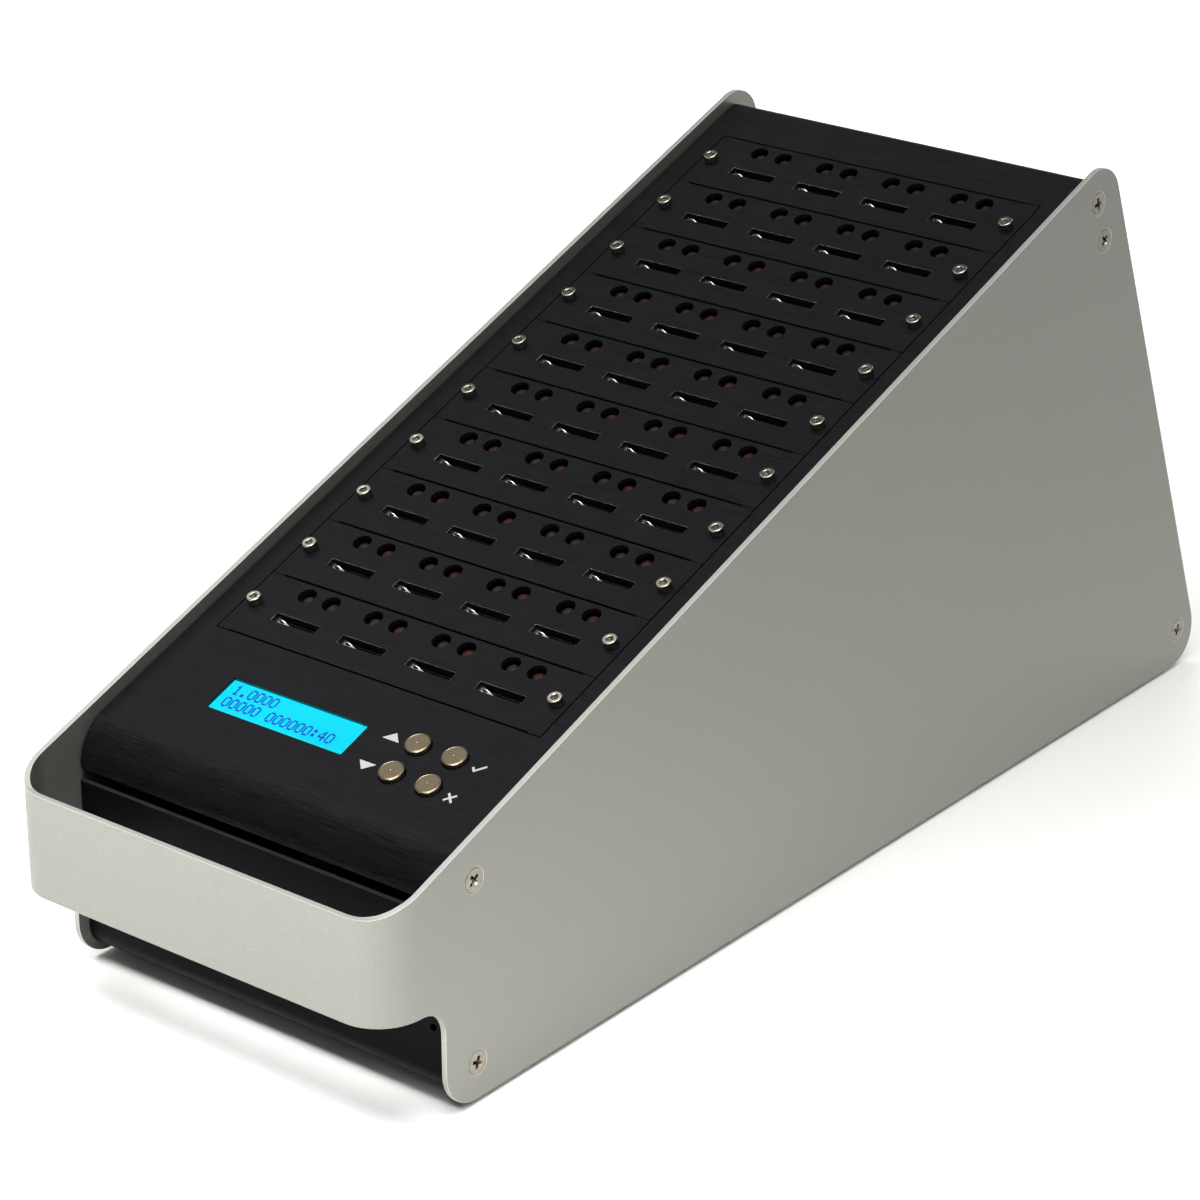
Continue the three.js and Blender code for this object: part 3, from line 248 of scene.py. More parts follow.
def block(name: str, low: Sequence[float], high: Sequence[float]) -> Piece:
    """Adds a block between two corners.

    Args:
        name: the new piece's name.
        low: the lowest corner, in millimetres.
        high: the highest corner.

    Returns:
        The block, with its place in its mesh.
    """
    first, last = Vector(low) * MM, Vector(high) * MM
    deselect()
    bpy.ops.mesh.primitive_cube_add(size=1, location=(first + last) / 2, scale=last - first)
    piece = bpy.context.active_object
    piece.name = name
    bpy.ops.object.transform_apply(location=True, rotation=True, scale=True)
    return piece


def box(
    name: str, place: Sequence[float], half: Sequence[float], bottom: float, top: float
) -> Piece:
    """Adds a block by its middle, half its size across, and its lower and upper heights."""
    (x, y), (reach, rise) = place, half
    return block(name, (x - reach, y - rise, bottom), (x + reach, y + rise, top))


def round_bar(
    name: str,
    radius: float,
    bottom: float,
    top: float,
    place: Sequence[float] = (0, 0),
    sides: int = 48,
    top_radius: float | None = None,
) -> Piece:
    """Adds a round bar or cone standing along Z.

    Args:
        name: the new piece's name.
        radius: at the bottom, in millimetres.
        bottom: height of the lower end.
        top: height of the upper end.
        place: X and Y of its axis.
        sides: how many sides it has.
        top_radius: at the top, where that differs.

    Returns:
        The bar, with its place in its mesh.
    """
    deselect()
    bpy.ops.mesh.primitive_cone_add(
        vertices=sides, radius1=radius * MM,
        radius2=(radius if top_radius is None else top_radius) * MM, depth=(top - bottom) * MM,
        location=Vector((*place, (bottom + top) / 2)) * MM)
    piece = bpy.context.active_object
    piece.name = name
    bpy.ops.object.transform_apply(location=True, rotation=True, scale=True)
    return piece


def modify(piece: Piece, kind: str, **settings: Any) -> None:
    """Puts a modifier on a piece and applies it.

    Args:
        piece: what it works on.
        kind: the modifier's type.
        **settings: the modifier's own settings.
    """
    only(piece)
    modifier = piece.modifiers.new(kind.title(), kind)
    for name, value in settings.items():
        setattr(modifier, name, value)
    bpy.ops.object.modifier_apply(modifier=modifier.name)


def joined(first: Piece, *others: Piece) -> Piece:
    """Puts several meshes into the first one.

    Args:
        first: what takes them up.
        *others: what is put in.

    Returns:
        The first one.
    """
    if others:
        only(first, *others)
        bpy.ops.object.join()
    return first


def combine(
    piece: Piece, tools: Sequence[Piece], operation: str = "DIFFERENCE"
) -> Piece:
    """Cuts a piece with tools that don't touch each other, or adds or intersects them.

    Args:
        piece: what is cut.
        tools: solids that are used up.
        operation: the boolean's operation.

    Returns:
        The piece.
    """
    tool = joined(*tools)
    modify(piece, "BOOLEAN", operation=operation, solver="EXACT", object=tool)
    discard(tool)
    return piece


def discard(piece: Piece) -> None:
    """Deletes a model or a cutter that is used up."""
    bpy.data.objects.remove(piece, do_unlink=True)


def shift(x: float = 0, y: float = 0, z: float = 0) -> Matrix:
    """A move by millimetres."""
    return Matrix.Translation(Vector((x, y, z)) * MM)


def turned(angle: float, axis: str = "Z") -> Matrix:
    """A turn by radians about an axis."""
    return Matrix.Rotation(angle, 4, axis)


def settle(piece: Piece, matrix: Matrix) -> Piece:
    """Moves a piece and puts the place into its mesh.

    Args:
        piece: what is moved.
        matrix: the move.

    Returns:
        The piece.
    """
    only(piece)
    piece.matrix_world = matrix @ piece.matrix_world
    bpy.ops.object.transform_apply(location=True, rotation=True, scale=True)
    return piece


def copied(piece: Piece, name: str, matrix: Matrix) -> Piece:
    """Makes a copy with its own mesh, moved by a matrix.

    Args:
        piece: what is copied, not yet on a body.
        name: the copy's name.
        matrix: where it goes.

    Returns:
        The copy.
    """
    only(piece)
    bpy.ops.object.duplicate(linked=False)
    twin = bpy.context.active_object
    twin.name = name
    return settle(twin, matrix)


def refined(node: str) -> Piece:
    """A copy of a CAD node as one clean mesh, its flat faces whole again.

    Args:
        node: the CAD node's name.

    Returns:
        The new piece.
    """
    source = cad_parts[node]
    piece = bpy.data.objects.new(f"{node}_dressed", source.data.copy())
    bpy.context.scene.collection.objects.link(piece)
    with editing(piece):
        bpy.ops.mesh.select_all(action="SELECT")
        bpy.ops.mesh.remove_doubles(threshold=0.002 * MM)
        bpy.ops.mesh.dissolve_limited(angle_limit=math.radians(0.5))
    return piece


def smooth(piece: Piece, limit: float, weighted: bool = True) -> None:
    """Shades a piece smooth where its faces meet at less than a limit in degrees.

    Args:
        piece: what is shaded.
        limit: edges sharper than this stay sharp.
        weighted: whether large faces are kept flat.
    """
    only(piece)
    bpy.ops.object.shade_smooth_by_angle(angle=math.radians(limit))
    if weighted:
        modify(piece, "WEIGHTED_NORMAL", mode="FACE_AREA", weight=100, keep_sharp=True)


def soften(
    piece: Piece, width: float, segments: int = 2, limit: float = 32, finish: int = -1
) -> None:
    """Breaks a piece's sharp edges, and shades its flats flat and its bends smooth.

    Args:
        piece: a finished shape.
        width: of the broken edge, in millimetres.
        segments: steps across it.
        limit: edges sharper than this many degrees are broken.
        finish: number of the broken edge's finish, or -1 for that of the faces beside it.
    """
    modify(
        piece, "BEVEL", width=width * MM, segments=segments, limit_method="ANGLE",
        angle_limit=math.radians(limit), miter_outer="MITER_ARC", use_clamp_overlap=True,
        material=finish)
    smooth(piece, limit)


def dress(piece: Piece, *finishes: "Finish") -> Piece:
    """Gives a piece its materials in place of those it has.

    Args:
        piece: what is dressed.
        *finishes: one for each of its material slots.

    Returns:
        The piece.
    """
    while len(piece.data.materials) > len(finishes):
        piece.data.materials.pop()
    for index, finish in enumerate(finishes):
        if index < len(piece.data.materials):
            piece.data.materials[index] = finish.material()
        else:
            piece.data.materials.append(finish.material())
    return piece


def hand_over(
    piece: Piece, slot: Slot, *nodes: str, body: str = Body.CASING.value
) -> None:
    """Puts a finished piece on its body and hides the CAD nodes that it replaces.

    Args:
        piece: a dressed piece.
        slot: not used.
        *nodes: the CAD nodes that it replaces.
        body: the CAD body that it moves with.
    """
    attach(piece, body)
    if nodes:
        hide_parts(*nodes)
    log.info("%s: %d faces, on %s", piece.name, len(piece.data.polygons), body)


def copy_out(
    model: Piece, slot: Slot, places: Mapping[str, Matrix], in_cad: bool = True
) -> None:
    """Copies a dressed model to its places on the casing, and uses the model up.

    Args:
        model: what is copied.
        slot: the record's slot for its finish.
        places: each copy's name and where it goes.
        in_cad: whether each name is a CAD node's, which the copy replaces.
    """
    for name, matrix in places.items():
        if in_cad:
            hand_over(copied(model, f"{name}_dressed", matrix), slot, name)
        else:
            hand_over(copied(model, name, matrix), slot)
    discard(model)


# Nodes and finishes


def linear(colour: str, alpha: float = 1.0) -> tuple[float, float, float, float]:
    """Turns an sRGB hex colour into linear values.

    Args:
        colour: six hex digits.
        alpha: the fourth value.

    Returns:
        Linear red, green, blue and alpha.
    """
    shares = [int(colour[start:start + 2], 16) / 255 for start in (0, 2, 4)]
    values = [s / 12.92 if s <= 0.04045 else ((s + 0.055) / 1.055) ** 2.4 for s in shares]
    return (*values, alpha)


def per_mm(size: float) -> float:
    """How many features of a size in millimetres fit into one metre."""
    return 1 / (size * MM)


def add_node(
    tree: Tree,
    kind: str,
    settings: Mapping[str, Any] | None = None,
    values: Mapping[str | int, Any] | None = None,
    links: Mapping[str | int, Socket] | None = None,
) -> Node:
    """Adds one node.

    Args:
        tree: where it goes.
        kind: the node's type.
        settings: the node's own properties.
        values: constants for its inputs, by name or number.
        links: outputs of other nodes for its inputs, by name or number.

    Returns:
        The node.
    """
    node = tree.nodes.new(kind)
    for name, value in (settings or {}).items():
        setattr(node, name, value)
    for name, value in (values or {}).items():
        node.inputs[name].default_value = value
    for name, socket in (links or {}).items():
        tree.links.new(socket, node.inputs[name])
    return node


@dataclass(frozen=True)
class Finish:
    """What a surface is made of, and how that surface was made."""

    label: str

    def material(self) -> bpy.types.Material:
        """Makes the material once, and hands out the same one after that."""
        known = bpy.data.materials.get(self.label)
        if known is not None:
            return known
        material = bpy.data.materials.new(self.label)
        material.use_nodes = True
        material.node_tree.nodes.clear()
        shader = self.shader(material.node_tree)
        add_node(material.node_tree, "ShaderNodeOutputMaterial",
                 links={"Surface": shader.outputs[0]})
        return material

    def shader(self, tree: Tree) -> Node:
        """Builds the nodes up to the shader, and returns it."""
        raise NotImplementedError

    def pattern(
        self, tree: Tree, grain: Grain, detail: float
    ) -> Socket:
        """Noise on the piece's own coordinates.

        Args:
            tree: where the nodes go.
            grain: size of the pattern in millimetres, or its sizes along X, Y and Z.
            detail: how much finer grain rides on it.

        Returns:
            The noise's value, from 0 to 1.
        """
        sizes = grain if isinstance(grain, tuple) else (grain,) * 3
        place = add_node(tree, "ShaderNodeTexCoord")
        scaled = add_node(
            tree, "ShaderNodeMapping", values={"Scale": [per_mm(size) for size in sizes]},
            links={"Vector": place.outputs["Object"]})
        noise = add_node(
            tree, "ShaderNodeTexNoise",
            values={"Scale": 1.0, "Detail": detail, "Roughness": 0.55},
            links={"Vector": scaled.outputs[0]})
        return noise.outputs[0]

    def surface(
        self,
        tree: Tree,
        tone: Socket,
        colours: tuple[str, str],
        grain: Socket,
        rough: Pair,
        relief: float = 0.0,
        values: Mapping[str, Any] | None = None,
    ) -> Node:
        """A shader whose colour follows one pattern, and whose sheen and relief another.

        Args:
            tree: where the nodes go.
            tone: the pattern of the colour.
            colours: the two sRGB hex colours that it wanders between.
            grain: the pattern of the sheen and the relief.
            rough: the roughness where the grain is low and where it is high.
            relief: depth of the grain, in millimetres.
            values: further constants of the shader.

        Returns:
            The shader.
        """
        share = add_node(tree, "ShaderNodeMapRange", values=NOISE_SPAN, links={"Value": tone})
        colour = add_node(
            tree, "ShaderNodeMix", {"data_type": "RGBA"},
            {6: linear(colours[0]), 7: linear(colours[1])}, {0: share.outputs[0]})
        sheen = add_node(
            tree, "ShaderNodeMapRange",
            values={**NOISE_SPAN, "To Min": rough[0], "To Max": rough[1]}, links={"Value": grain})
        bump = add_node(
            tree, "ShaderNodeBump", values={"Strength": 1.0, "Distance": relief * MM},
            links={"Height": grain})
        return add_node(
            tree, "ShaderNodeBsdfPrincipled", values=values,
            links={"Base Color": colour.outputs[2], "Roughness": sheen.outputs[0],
                   "Normal": bump.outputs[0]})


@dataclass(frozen=True)
class Grained(Finish):
    """A surface whose colour follows one pattern, and whose sheen and relief another.

    Tone and grain are the sizes of the two patterns, and relief is the grain's depth, all in
    millimetres. The roughness runs from rough to rough and blur together.
    """

    first: str = "808080"
    second: str = "808080"
    rough: float = 0.5
    blur: float = 0.1
    metal: float = 0.0
    mirror: float = 0.5
    tone: Grain = 1.0
    tone_detail: float = 2
    grain: Grain = 1.0
    grain_detail: float = 2
    relief: float = 0.0
    further: tuple[tuple[str, float], ...] = ()

    def shader(self, tree: Tree) -> Node:
        """Joins the two patterns, or the one that serves for both, to the shader.

        Args:
            tree: where the nodes go.

        Returns:
            The shader.
        """
        tone = grain = self.pattern(tree, self.tone, self.tone_detail)
        if (self.tone, self.tone_detail) != (self.grain, self.grain_detail):
            grain = self.pattern(tree, self.grain, self.grain_detail)
        values = {"Metallic": self.metal, "Specular IOR Level": self.mirror, **dict(self.further)}
        return self.surface(
            tree, tone, (self.first, self.second), grain, (self.rough, self.rough + self.blur),
            self.relief, values)


@dataclass(frozen=True)
class BlastedAluminium(Grained):
    """Aluminium sheet, blasted with fine beads and clear anodised.

    The eye gets a warm pale grey with a soft broad sheen and a fine even grit. The grit of
    0.1 mm is drawn at 0.4 and 0.6 mm so that it shows.
    """

    label: str = "blasted_clear_anodised_aluminium"
    first: str = "90908a"
    second: str = "999992"
    rough: float = 0.4
    blur: float = 0.08
    metal: float = 0.82
    tone: Grain = 0.6
    grain: Grain = 0.4
    relief: float = 0.008


@dataclass(frozen=True)
class BrushedBlackSheet(Grained):
    """Aluminium sheet, brushed across the unit and then black anodised.

    The eye gets a deep grey-black with faint straight streaks and a satin sheen. Of the brush
    lines of 0.05 mm the widest are drawn, at 0.4 mm, so that they show.
    """

    label: str = "brushed_black_anodised_aluminium"
    first: str = "060608"
    second: str = "151518"
    rough: float = 0.3
    blur: float = 0.18
    mirror: float = 0.1
    tone: Grain = (12, 0.4, 0.4)
    tone_detail: float = 4
    grain: Grain = (12, 0.4, 0.4)
    grain_detail: float = 4
    relief: float = 0.035


@dataclass(frozen=True)
class NickelPlate(Grained):
    """Brass turned to shape and nickel plated, or steel with a like coat.

    The eye gets a warm grey mirror that is a little blurred, cloudy over 3 mm and marked by
    handling over 0.5 mm.
    """

    label: str = "satin_nickel_plate"
    first: str = "c4b99f"
    second: str = "d2c8b0"
    rough: float = 0.05
    metal: float = 1.0
    tone: Grain = 3
    grain: Grain = 0.5
    grain_detail: float = 4
    relief: float = 0.0015


@dataclass(frozen=True)
class GalvanisedSteel(Finish):
    """Zinc coated steel sheet. The eye gets dull grey flakes, each a little lighter or darker."""

    label: str = "galvanised_steel_sheet"

    def shader(self, tree: Tree) -> Node:
        """Zinc flakes 7 mm across.

        Args:
            tree: where the nodes go.

        Returns:
            The shader.
        """
        place = add_node(tree, "ShaderNodeTexCoord")
        flakes = add_node(
            tree, "ShaderNodeTexVoronoi", values={"Scale": per_mm(7)},
            links={"Vector": place.outputs["Object"]})
        tone = add_node(tree, "ShaderNodeSeparateColor", links={0: flakes.outputs["Color"]})
        return self.surface(
            tree, tone.outputs[0], ("8a8d8f", "a5a8a9"), tone.outputs[1], (0.38, 0.52),
            values={"Metallic": 0.9})


@dataclass(frozen=True)
class CircuitBoard(Finish):
    """Glass epoxy board under green solder resist.

    The eye gets a glossy green with lighter tracks where copper runs under the resist.
    """

    label: str = "circuit_board_with_solder_resist"

    def shader(self, tree: Tree) -> Node:
        """Tracks 2.2 mm apart, and the weave of the glass 1.2 mm wide.

        Args:
            tree: where the nodes go.

        Returns:
            The shader.
        """
        place = add_node(tree, "ShaderNodeTexCoord")
        tracks = add_node(
            tree, "ShaderNodeTexBrick",
            {"offset": 0.5},
            {"Scale": per_mm(18), "Mortar Size": 0.03, "Brick Width": 0.9, "Row Height": 0.12,
             "Color1": (0, 0, 0, 1), "Color2": (0, 0, 0, 1), "Mortar": (1, 1, 1, 1)},
            {"Vector": place.outputs["Object"]})
        return self.surface(
            tree, tracks.outputs["Fac"], ("0e3f26", "1b6440"),
            self.pattern(tree, 1.2, 2), (0.35, 0.5), 0.0075,
            {"Coat Weight": 0.5, "Coat Roughness": 0.15})


@dataclass(frozen=True)
class MouldedPlastic(Grained):
    """Black polyamide or ABS, moulded in a spark-eroded tool.

    The eye gets a fine dull grain: 0.3 mm, drawn at 0.6 mm so that it shows.
    """

    label: str = "moulded_black_plastic"
    first: str = "131314"
    second: str = "1d1d1f"
    rough: float = 0.45
    blur: float = 0.14
    tone: Grain = 12
    grain: Grain = 0.6
    grain_detail: float = 3
    relief: float = 0.008


@dataclass(frozen=True)
class LampLens(Grained):
    """Epoxy lens of a lamp that is off.

    The eye gets a dull tinted jelly, dark in its hole, with streaks 1.5 mm wide.
    """

    label: str = "green_lamp_lens"
    first: str = "101715"
    second: str = "1f2b27"
    mirror: float = 0.15
    tone: Grain = 1.5
    grain: Grain = 1.5
    further: tuple[tuple[str, float], ...] = (
        ("Subsurface Weight", 0.2), ("Subsurface Scale", 0.001))


@dataclass(frozen=True)
class DisplayLight(Finish):
    """The display's lit background: an even cyan glow with the fine grid of its dots."""

    label: str = "display_background_light"
    dot: float = 0.6

    def shader(self, tree: Tree) -> Node:
        """Cells of 0.6 mm, and a slow change of glow over 30 mm.

        Args:
            tree: where the nodes go.

        Returns:
            The shader.
        """
        place = add_node(tree, "ShaderNodeTexCoord")
        cells = add_node(
            tree, "ShaderNodeTexBrick", {"offset": 0.0},
            {"Scale": per_mm(self.dot * 2), "Mortar Size": 0.04, "Brick Width": 0.5,
             "Row Height": 0.5, "Color1": linear("00e6ff"), "Color2": linear("00e6ff"),
             "Mortar": linear("00d7f8")},
            {"Vector": place.outputs["Object"]})
        glow = add_node(
            tree, "ShaderNodeMapRange",
            values={**NOISE_SPAN, "To Min": 0.96, "To Max": 1.06},
            links={"Value": self.pattern(tree, 30, 1)})
        return add_node(
            tree, "ShaderNodeBsdfPrincipled",
            values={"Base Color": linear("010809"), "Roughness": 0.6, "Specular IOR Level": 0.05},
            links={"Emission Color": cells.outputs["Color"],
                   "Emission Strength": glow.outputs[0]})


@dataclass(frozen=True)
class DisplayInk(Finish):
    """A switched-on dot of the display: violet blue against the glow, a little uneven."""

    label: str = "display_dots"

    def shader(self, tree: Tree) -> Node:
        """The light leaks through the dots, more in some than in others, 2 mm apart.

        Args:
            tree: where the nodes go.

        Returns:
            The shader.
        """
        leak = add_node(
            tree, "ShaderNodeMapRange",
            values={**NOISE_SPAN, "To Min": 0.75, "To Max": 0.95},
            links={"Value": self.pattern(tree, 2, 1)})
        return add_node(
            tree, "ShaderNodeBsdfPrincipled",
            values={"Base Color": linear("04051c"), "Emission Color": linear("1f3fe0"),
                    "Roughness": 0.6, "Specular IOR Level": 0.05},
            links={"Emission Strength": leak.outputs[0]})


@dataclass(frozen=True)
class ClearAcrylic(Grained):
    """Cast acrylic sheet with a coat against glare, wiped along its length.

    The eye gets a clear window with a few wipe marks, 6 mm wide and 40 mm long. The coat is
    drawn as a low index, so that the pane mirrors little.
    """

    label: str = "clear_acrylic"
    first: str = "f6fcff"
    second: str = "fcfeff"
    rough: float = 0.0
    blur: float = 0.05
    tone: Grain = (40, 6, 6)
    tone_detail: float = 3
    grain: Grain = (40, 6, 6)
    grain_detail: float = 3
    further: tuple[tuple[str, float], ...] = (("Transmission Weight", 1.0), ("IOR", 1.07))


@dataclass(frozen=True)
class ScreenPrint(Grained):
    """White ink, screen printed and baked.

    The eye gets a flat white, a little thin in places, with the screen's mesh of 0.4 mm.
    """

    label: str = "white_screen_print"
    first: str = "9c9d9e"
    second: str = "a9aaab"
    blur: float = 0.15
    tone: Grain = 0.4
    grain: Grain = 0.4


# The cut edge of the outer sheet shows its core, and is painted lighter as a painted highlight.
# Broken edges carry a painted highlight: bright on the outer sheet, grey on the tray. The tray's
# front is painted darker as painted shade, because it lies in the handle's shade.
SILVER = BlastedAluminium()
CUT_EDGE_AND_HIGHLIGHT = BlastedAluminium("cut_aluminium_edge_and_highlight", "a8a6a0", "b0aea9", 0.3, metal=0.4)
SILVER_EDGE_HIGHLIGHT = BlastedAluminium(
    "aluminium_edge_painted_highlight", "d6d4ce", "dedcd7", 0.3, metal=0.3)
BLACK = BrushedBlackSheet()
TRAY_PAINTED_SHADE = BrushedBlackSheet(
    "brushed_black_tray_painted_shade", "040405", "0c0c0e", mirror=0.04)
BLACK_EDGE_HIGHLIGHT = BrushedBlackSheet("black_edge_painted_highlight", "242426", "303032", mirror=0.3)
NICKEL = NickelPlate()
KEY_FACE = NickelPlate("turned_nickel_face", "7c715b", "837764", 0.3)
CAP_NICKEL = NickelPlate("bright_nickel_plate", "aca89b", "bab6ab", 0.12)
ZINC = NickelPlate("nickel_plated_steel", "8b857a", "a19b8f", 0.2)
SOCKET_STEEL = NickelPlate("tinned_socket_steel", "b4b6b6", "d0d2d2", 0.18)
SLOT_EDGE_HIGHLIGHT = NickelPlate("slot_edge_painted_highlight", "6c6e6e", "b0b2b2", 0.3)
BAR_ALUMINIUM = NickelPlate("extruded_aluminium_bar", "a2a4a5", "b0b2b3", 0.34)
STEEL = GalvanisedSteel()
BOARD = CircuitBoard()
PLASTIC = MouldedPlastic()
SOCKET_PLASTIC = MouldedPlastic("black_socket_resin", "060606", "0b0b0c", 0.5)
RUBBER = MouldedPlastic("moulded_rubber", "161616", "222222", 0.72, grain=0.9)
CABLE = MouldedPlastic("cable_jacket", "2c2c2e", "3a3a3c", 0.5, grain=1.1)
READY_LENS = LampLens()
FAULT_LENS = LampLens("red_lamp_lens", "1e0c0b", "3a1c19")
GLOW = DisplayLight()
INK = DisplayInk()
ACRYLIC = ClearAcrylic()
PRINT = ScreenPrint()


# Shared sizes and frames


@dataclass(frozen=True)
class Case:
    """Sizes that several pieces share, and the frames they are modelled in."""

    half_width: float = 88.8
    half_length: float = 256.6
    wrap_sheet: float = 2.1
    inner_half: float = 86.4
    sheet: float = 2.0
    tilt: float = math.radians(20.25)
    fascia_depth: float = 34.9
    slope_foot: float = 92.6
    wall_length: float = 423.5
    rear_face: float = 412.9

    @property
    def upright(self) -> Matrix:
        """From depths behind the handle's face, and heights, to the row frame."""
        return Matrix.Translation((0, -self.half_length * MM, 0))

    @property
    def slope(self) -> Matrix:
        """From the sloped face's own frame, Y up the slope and Z square to it."""
        foot = Vector((0, self.fascia_depth, self.slope_foot)) * MM
        return self.upright @ Matrix.Translation(foot) @ Matrix.Rotation(self.tilt, 4, "X")

    def at_rear(self, x: float, rise: float) -> Matrix:
        """From a fitting's frame on the rear panel, Z outwards and Y down, to the row frame."""
        return self.slope @ shift(x, self.rear_face, rise) @ turned(math.radians(-90), "X")

    def at_side(self, side: int, depth: float, height: float) -> Matrix:
        """From a frame on the left (-1) or right (1) wall, Z outwards, to the row frame."""
        place = shift(side * self.half_width, depth, height)
        return self.upright @ place @ turned(side * math.pi / 2, "Y")

    def point(self, up: float, rise: float) -> Pair:
        """Turns a point of the slope's frame into a depth and a height.

        Args:
            up: how far up the slope it lies.
            rise: how far over the slope's plane.

        Returns:
            Its depth behind the handle's face, and its height over the table.
        """
        return (
            self.fascia_depth + up * math.cos(self.tilt) - rise * math.sin(self.tilt),
            self.slope_foot + up * math.sin(self.tilt) + rise * math.cos(self.tilt),
        )

    @property
    def square(self) -> Vector:
        """The slope's normal, in depths and heights."""
        return Vector((0, -math.sin(self.tilt), math.cos(self.tilt)))

    @property
    def uphill(self) -> Vector:
        """The way up the slope, in depths and heights."""
        return Vector((0, math.cos(self.tilt), math.sin(self.tilt)))

    def side_screws(self) -> dict[str, Pair]:
        """Depth and height of the five screws of one side wall."""
        return {
            "front_top": (46, 85.4),
            "front_bottom": (46, 15.9),
            "rear_top": self.point(self.wall_length - 14.8, -9.2),
            "rear_upper": self.point(self.wall_length - 14.8, -26.6),
            "rear_bottom": (501.5, 17.7),
        }


CASE = Case()


# The sheets


@dataclass
class OuterWrap:
    """The bright sheet: both side walls and the handle that crosses the front."""

    bend: float = 18.2
    handle_bottom: float = 45.2
    handle_top: float = 85.2
    blend: float = 12
    wall_front: float = 30
    corner: float = 15
    rear_corner: float = 15.8
    notch: float = 12
    lift: float = 2
    rise: float = 4.6
    tall: float = 260
    far: float = 540
    sink_depth: float = 1.9
    throat_radius: float = 2.8
    sink_radius: float = 4.8

    def sleeve(self) -> Piece:
        """The sheet bent into a U, longer and taller than it ends up."""
        half = CASE.half_width
        piece = block("outer_wrap_dressed", (-half, 0, -10), (half, self.far, self.tall))
        with editing(piece):
            pick(Part.FACE, lambda face: abs(face.normal.z) > 0.9 or face.normal.y > 0.9)
            bpy.ops.mesh.delete(type="FACE")
            round_edges(lambda edge: runs(edge, "z") and middle(edge).y < 1, self.bend, 24)
        modify(piece, "SOLIDIFY", thickness=CASE.wrap_sheet * MM, offset=-1, use_even_offset=True)
        return piece

    def top_edge(self, depth: float) -> float:
        """Height of the walls' straight top edge at a depth."""
        line_depth, line_height = CASE.point(0, self.rise)
        return line_height + (depth - line_depth) * math.tan(CASE.tilt)

    def outline(self) -> Piece:
        """The side view of the sheet as a solid that runs across the unit."""
        reach = CASE.half_width + 5
        piece = block("wrap_outline", (-reach, self.wall_front, self.lift),
                      (reach, self.far, self.tall))
        with editing(piece):
            slice_off((0, 0, self.handle_bottom), (0, 0, 1), keep_both=True)
            pick(Part.FACE, lambda face: face.normal.y < -0.9
                 and middle(face).z > self.handle_bottom)
            bpy.ops.mesh.extrude_region_move(
                TRANSFORM_OT_translate={"value": (0, -(self.wall_front + 2) * MM, 0)})
            slice_off((0, *CASE.point(0, self.rise)), CASE.square)
            slice_off((0, *CASE.point(CASE.wall_length, 0)), CASE.uphill)
            self.blend_top()
            round_edges(lambda edge: self.lies(edge, self.wall_front, self.handle_bottom),
                        self.notch, 12)
            round_edges(lambda edge: self.lies(edge, self.wall_front, self.lift),
                        self.corner, 12)
            round_edges(lambda edge: self.lies(edge, *CASE.point(CASE.wall_length, self.rise)),
                        self.corner, 16)
            turn = math.pi / 2 + CASE.tilt
            round_edges(lambda edge: runs(edge, "x") and middle(edge).y > REAR_END
                        and middle(edge).z < self.lift + 1,
                        self.rear_corner * math.tan(turn / 2), 16)
        return piece

    def lies(self, edge: Edge, depth: float, height: float) -> bool:
        """Whether an edge runs across the unit at a place.

        Args:
            edge: an edge of the side view.
            depth: the place's depth.
            height: its height.

        Returns:
            Whether it does.
        """
        place = middle(edge)
        near = math.hypot(place.y - depth, place.z - height) < 0.5
        return runs(edge, "x") and near

    def blend_top(self) -> None:
        """Eases the top edge from the level handle into the slope, over three cuts."""
        for share in (1, 0.5, 0.25):
            slice_off((0, self.blend * share, 0), (0, 1, 0), keep_both=True)
        for share in (0.5, 0.25, -2 / self.blend):
            depth = self.blend * share
            settled = 1 - (1 - max(share, 0)) ** 2
            height = self.handle_top + (self.top_edge(depth) - self.handle_top) * settled
            pick(Part.VERT, lambda vert: abs(middle(vert).y - depth) < 0.2
                 and middle(vert).z > self.handle_bottom + 5)
            bpy.ops.transform.translate(
                value=(0, 0, (height - self.top_edge(depth)) * MM), orient_type="GLOBAL")

    def countersinks(self) -> list[Piece]:
        """A cutter for each side screw's hole, on both walls."""
        model = joined(
            round_bar("sink", self.throat_radius, -self.sink_depth, 0.0,
                      top_radius=self.sink_radius),
            round_bar("throat", self.throat_radius, -6, -self.sink_depth),
            round_bar("mouth", self.sink_radius, 0.0, 3),
        )
        with editing(model):
            bpy.ops.mesh.select_all(action="SELECT")
            bpy.ops.mesh.remove_doubles(threshold=0.01 * MM)
            pick(Part.FACE, lambda face: abs(face.normal.z) > 0.9 and -5 < middle(face).z < 2)
            bpy.ops.mesh.delete(type="FACE")
        cutters = [
            copied(model, "sink", CASE.upright.inverted() @ CASE.at_side(side, *place))
            for place in CASE.side_screws().values() for side in (-1, 1)
        ]
        discard(model)
        return cutters

    def is_cut_edge(self, face: bpy.types.MeshPolygon) -> bool:
        """Whether a face lies on the sheet's cut edge and not on one of its two sides."""
        on_handle = face.center.y / MM < CASE.wrap_sheet + 0.1 and abs(face.normal.y) > 0.5
        return abs(face.normal.x) < 0.05 and not on_handle

    def build(self) -> None:
        """Bends, cuts, drills and dresses the sheet."""
        piece = combine(self.sleeve(), [self.outline()], "INTERSECT")
        dress(piece, SILVER, CUT_EDGE_AND_HIGHLIGHT, SILVER_EDGE_HIGHLIGHT)
        # Cut edges show the core, painted lighter as a painted highlight.
        for face in piece.data.polygons:
            face.material_index = int(self.is_cut_edge(face))
        combine(piece, self.countersinks())
        # The broken edges take finish 2, a bright painted highlight.
        soften(piece, 0.3, finish=2)
        settle(piece, CASE.upright)
        hand_over(piece, Slot.WRAP, "outer_wrap")


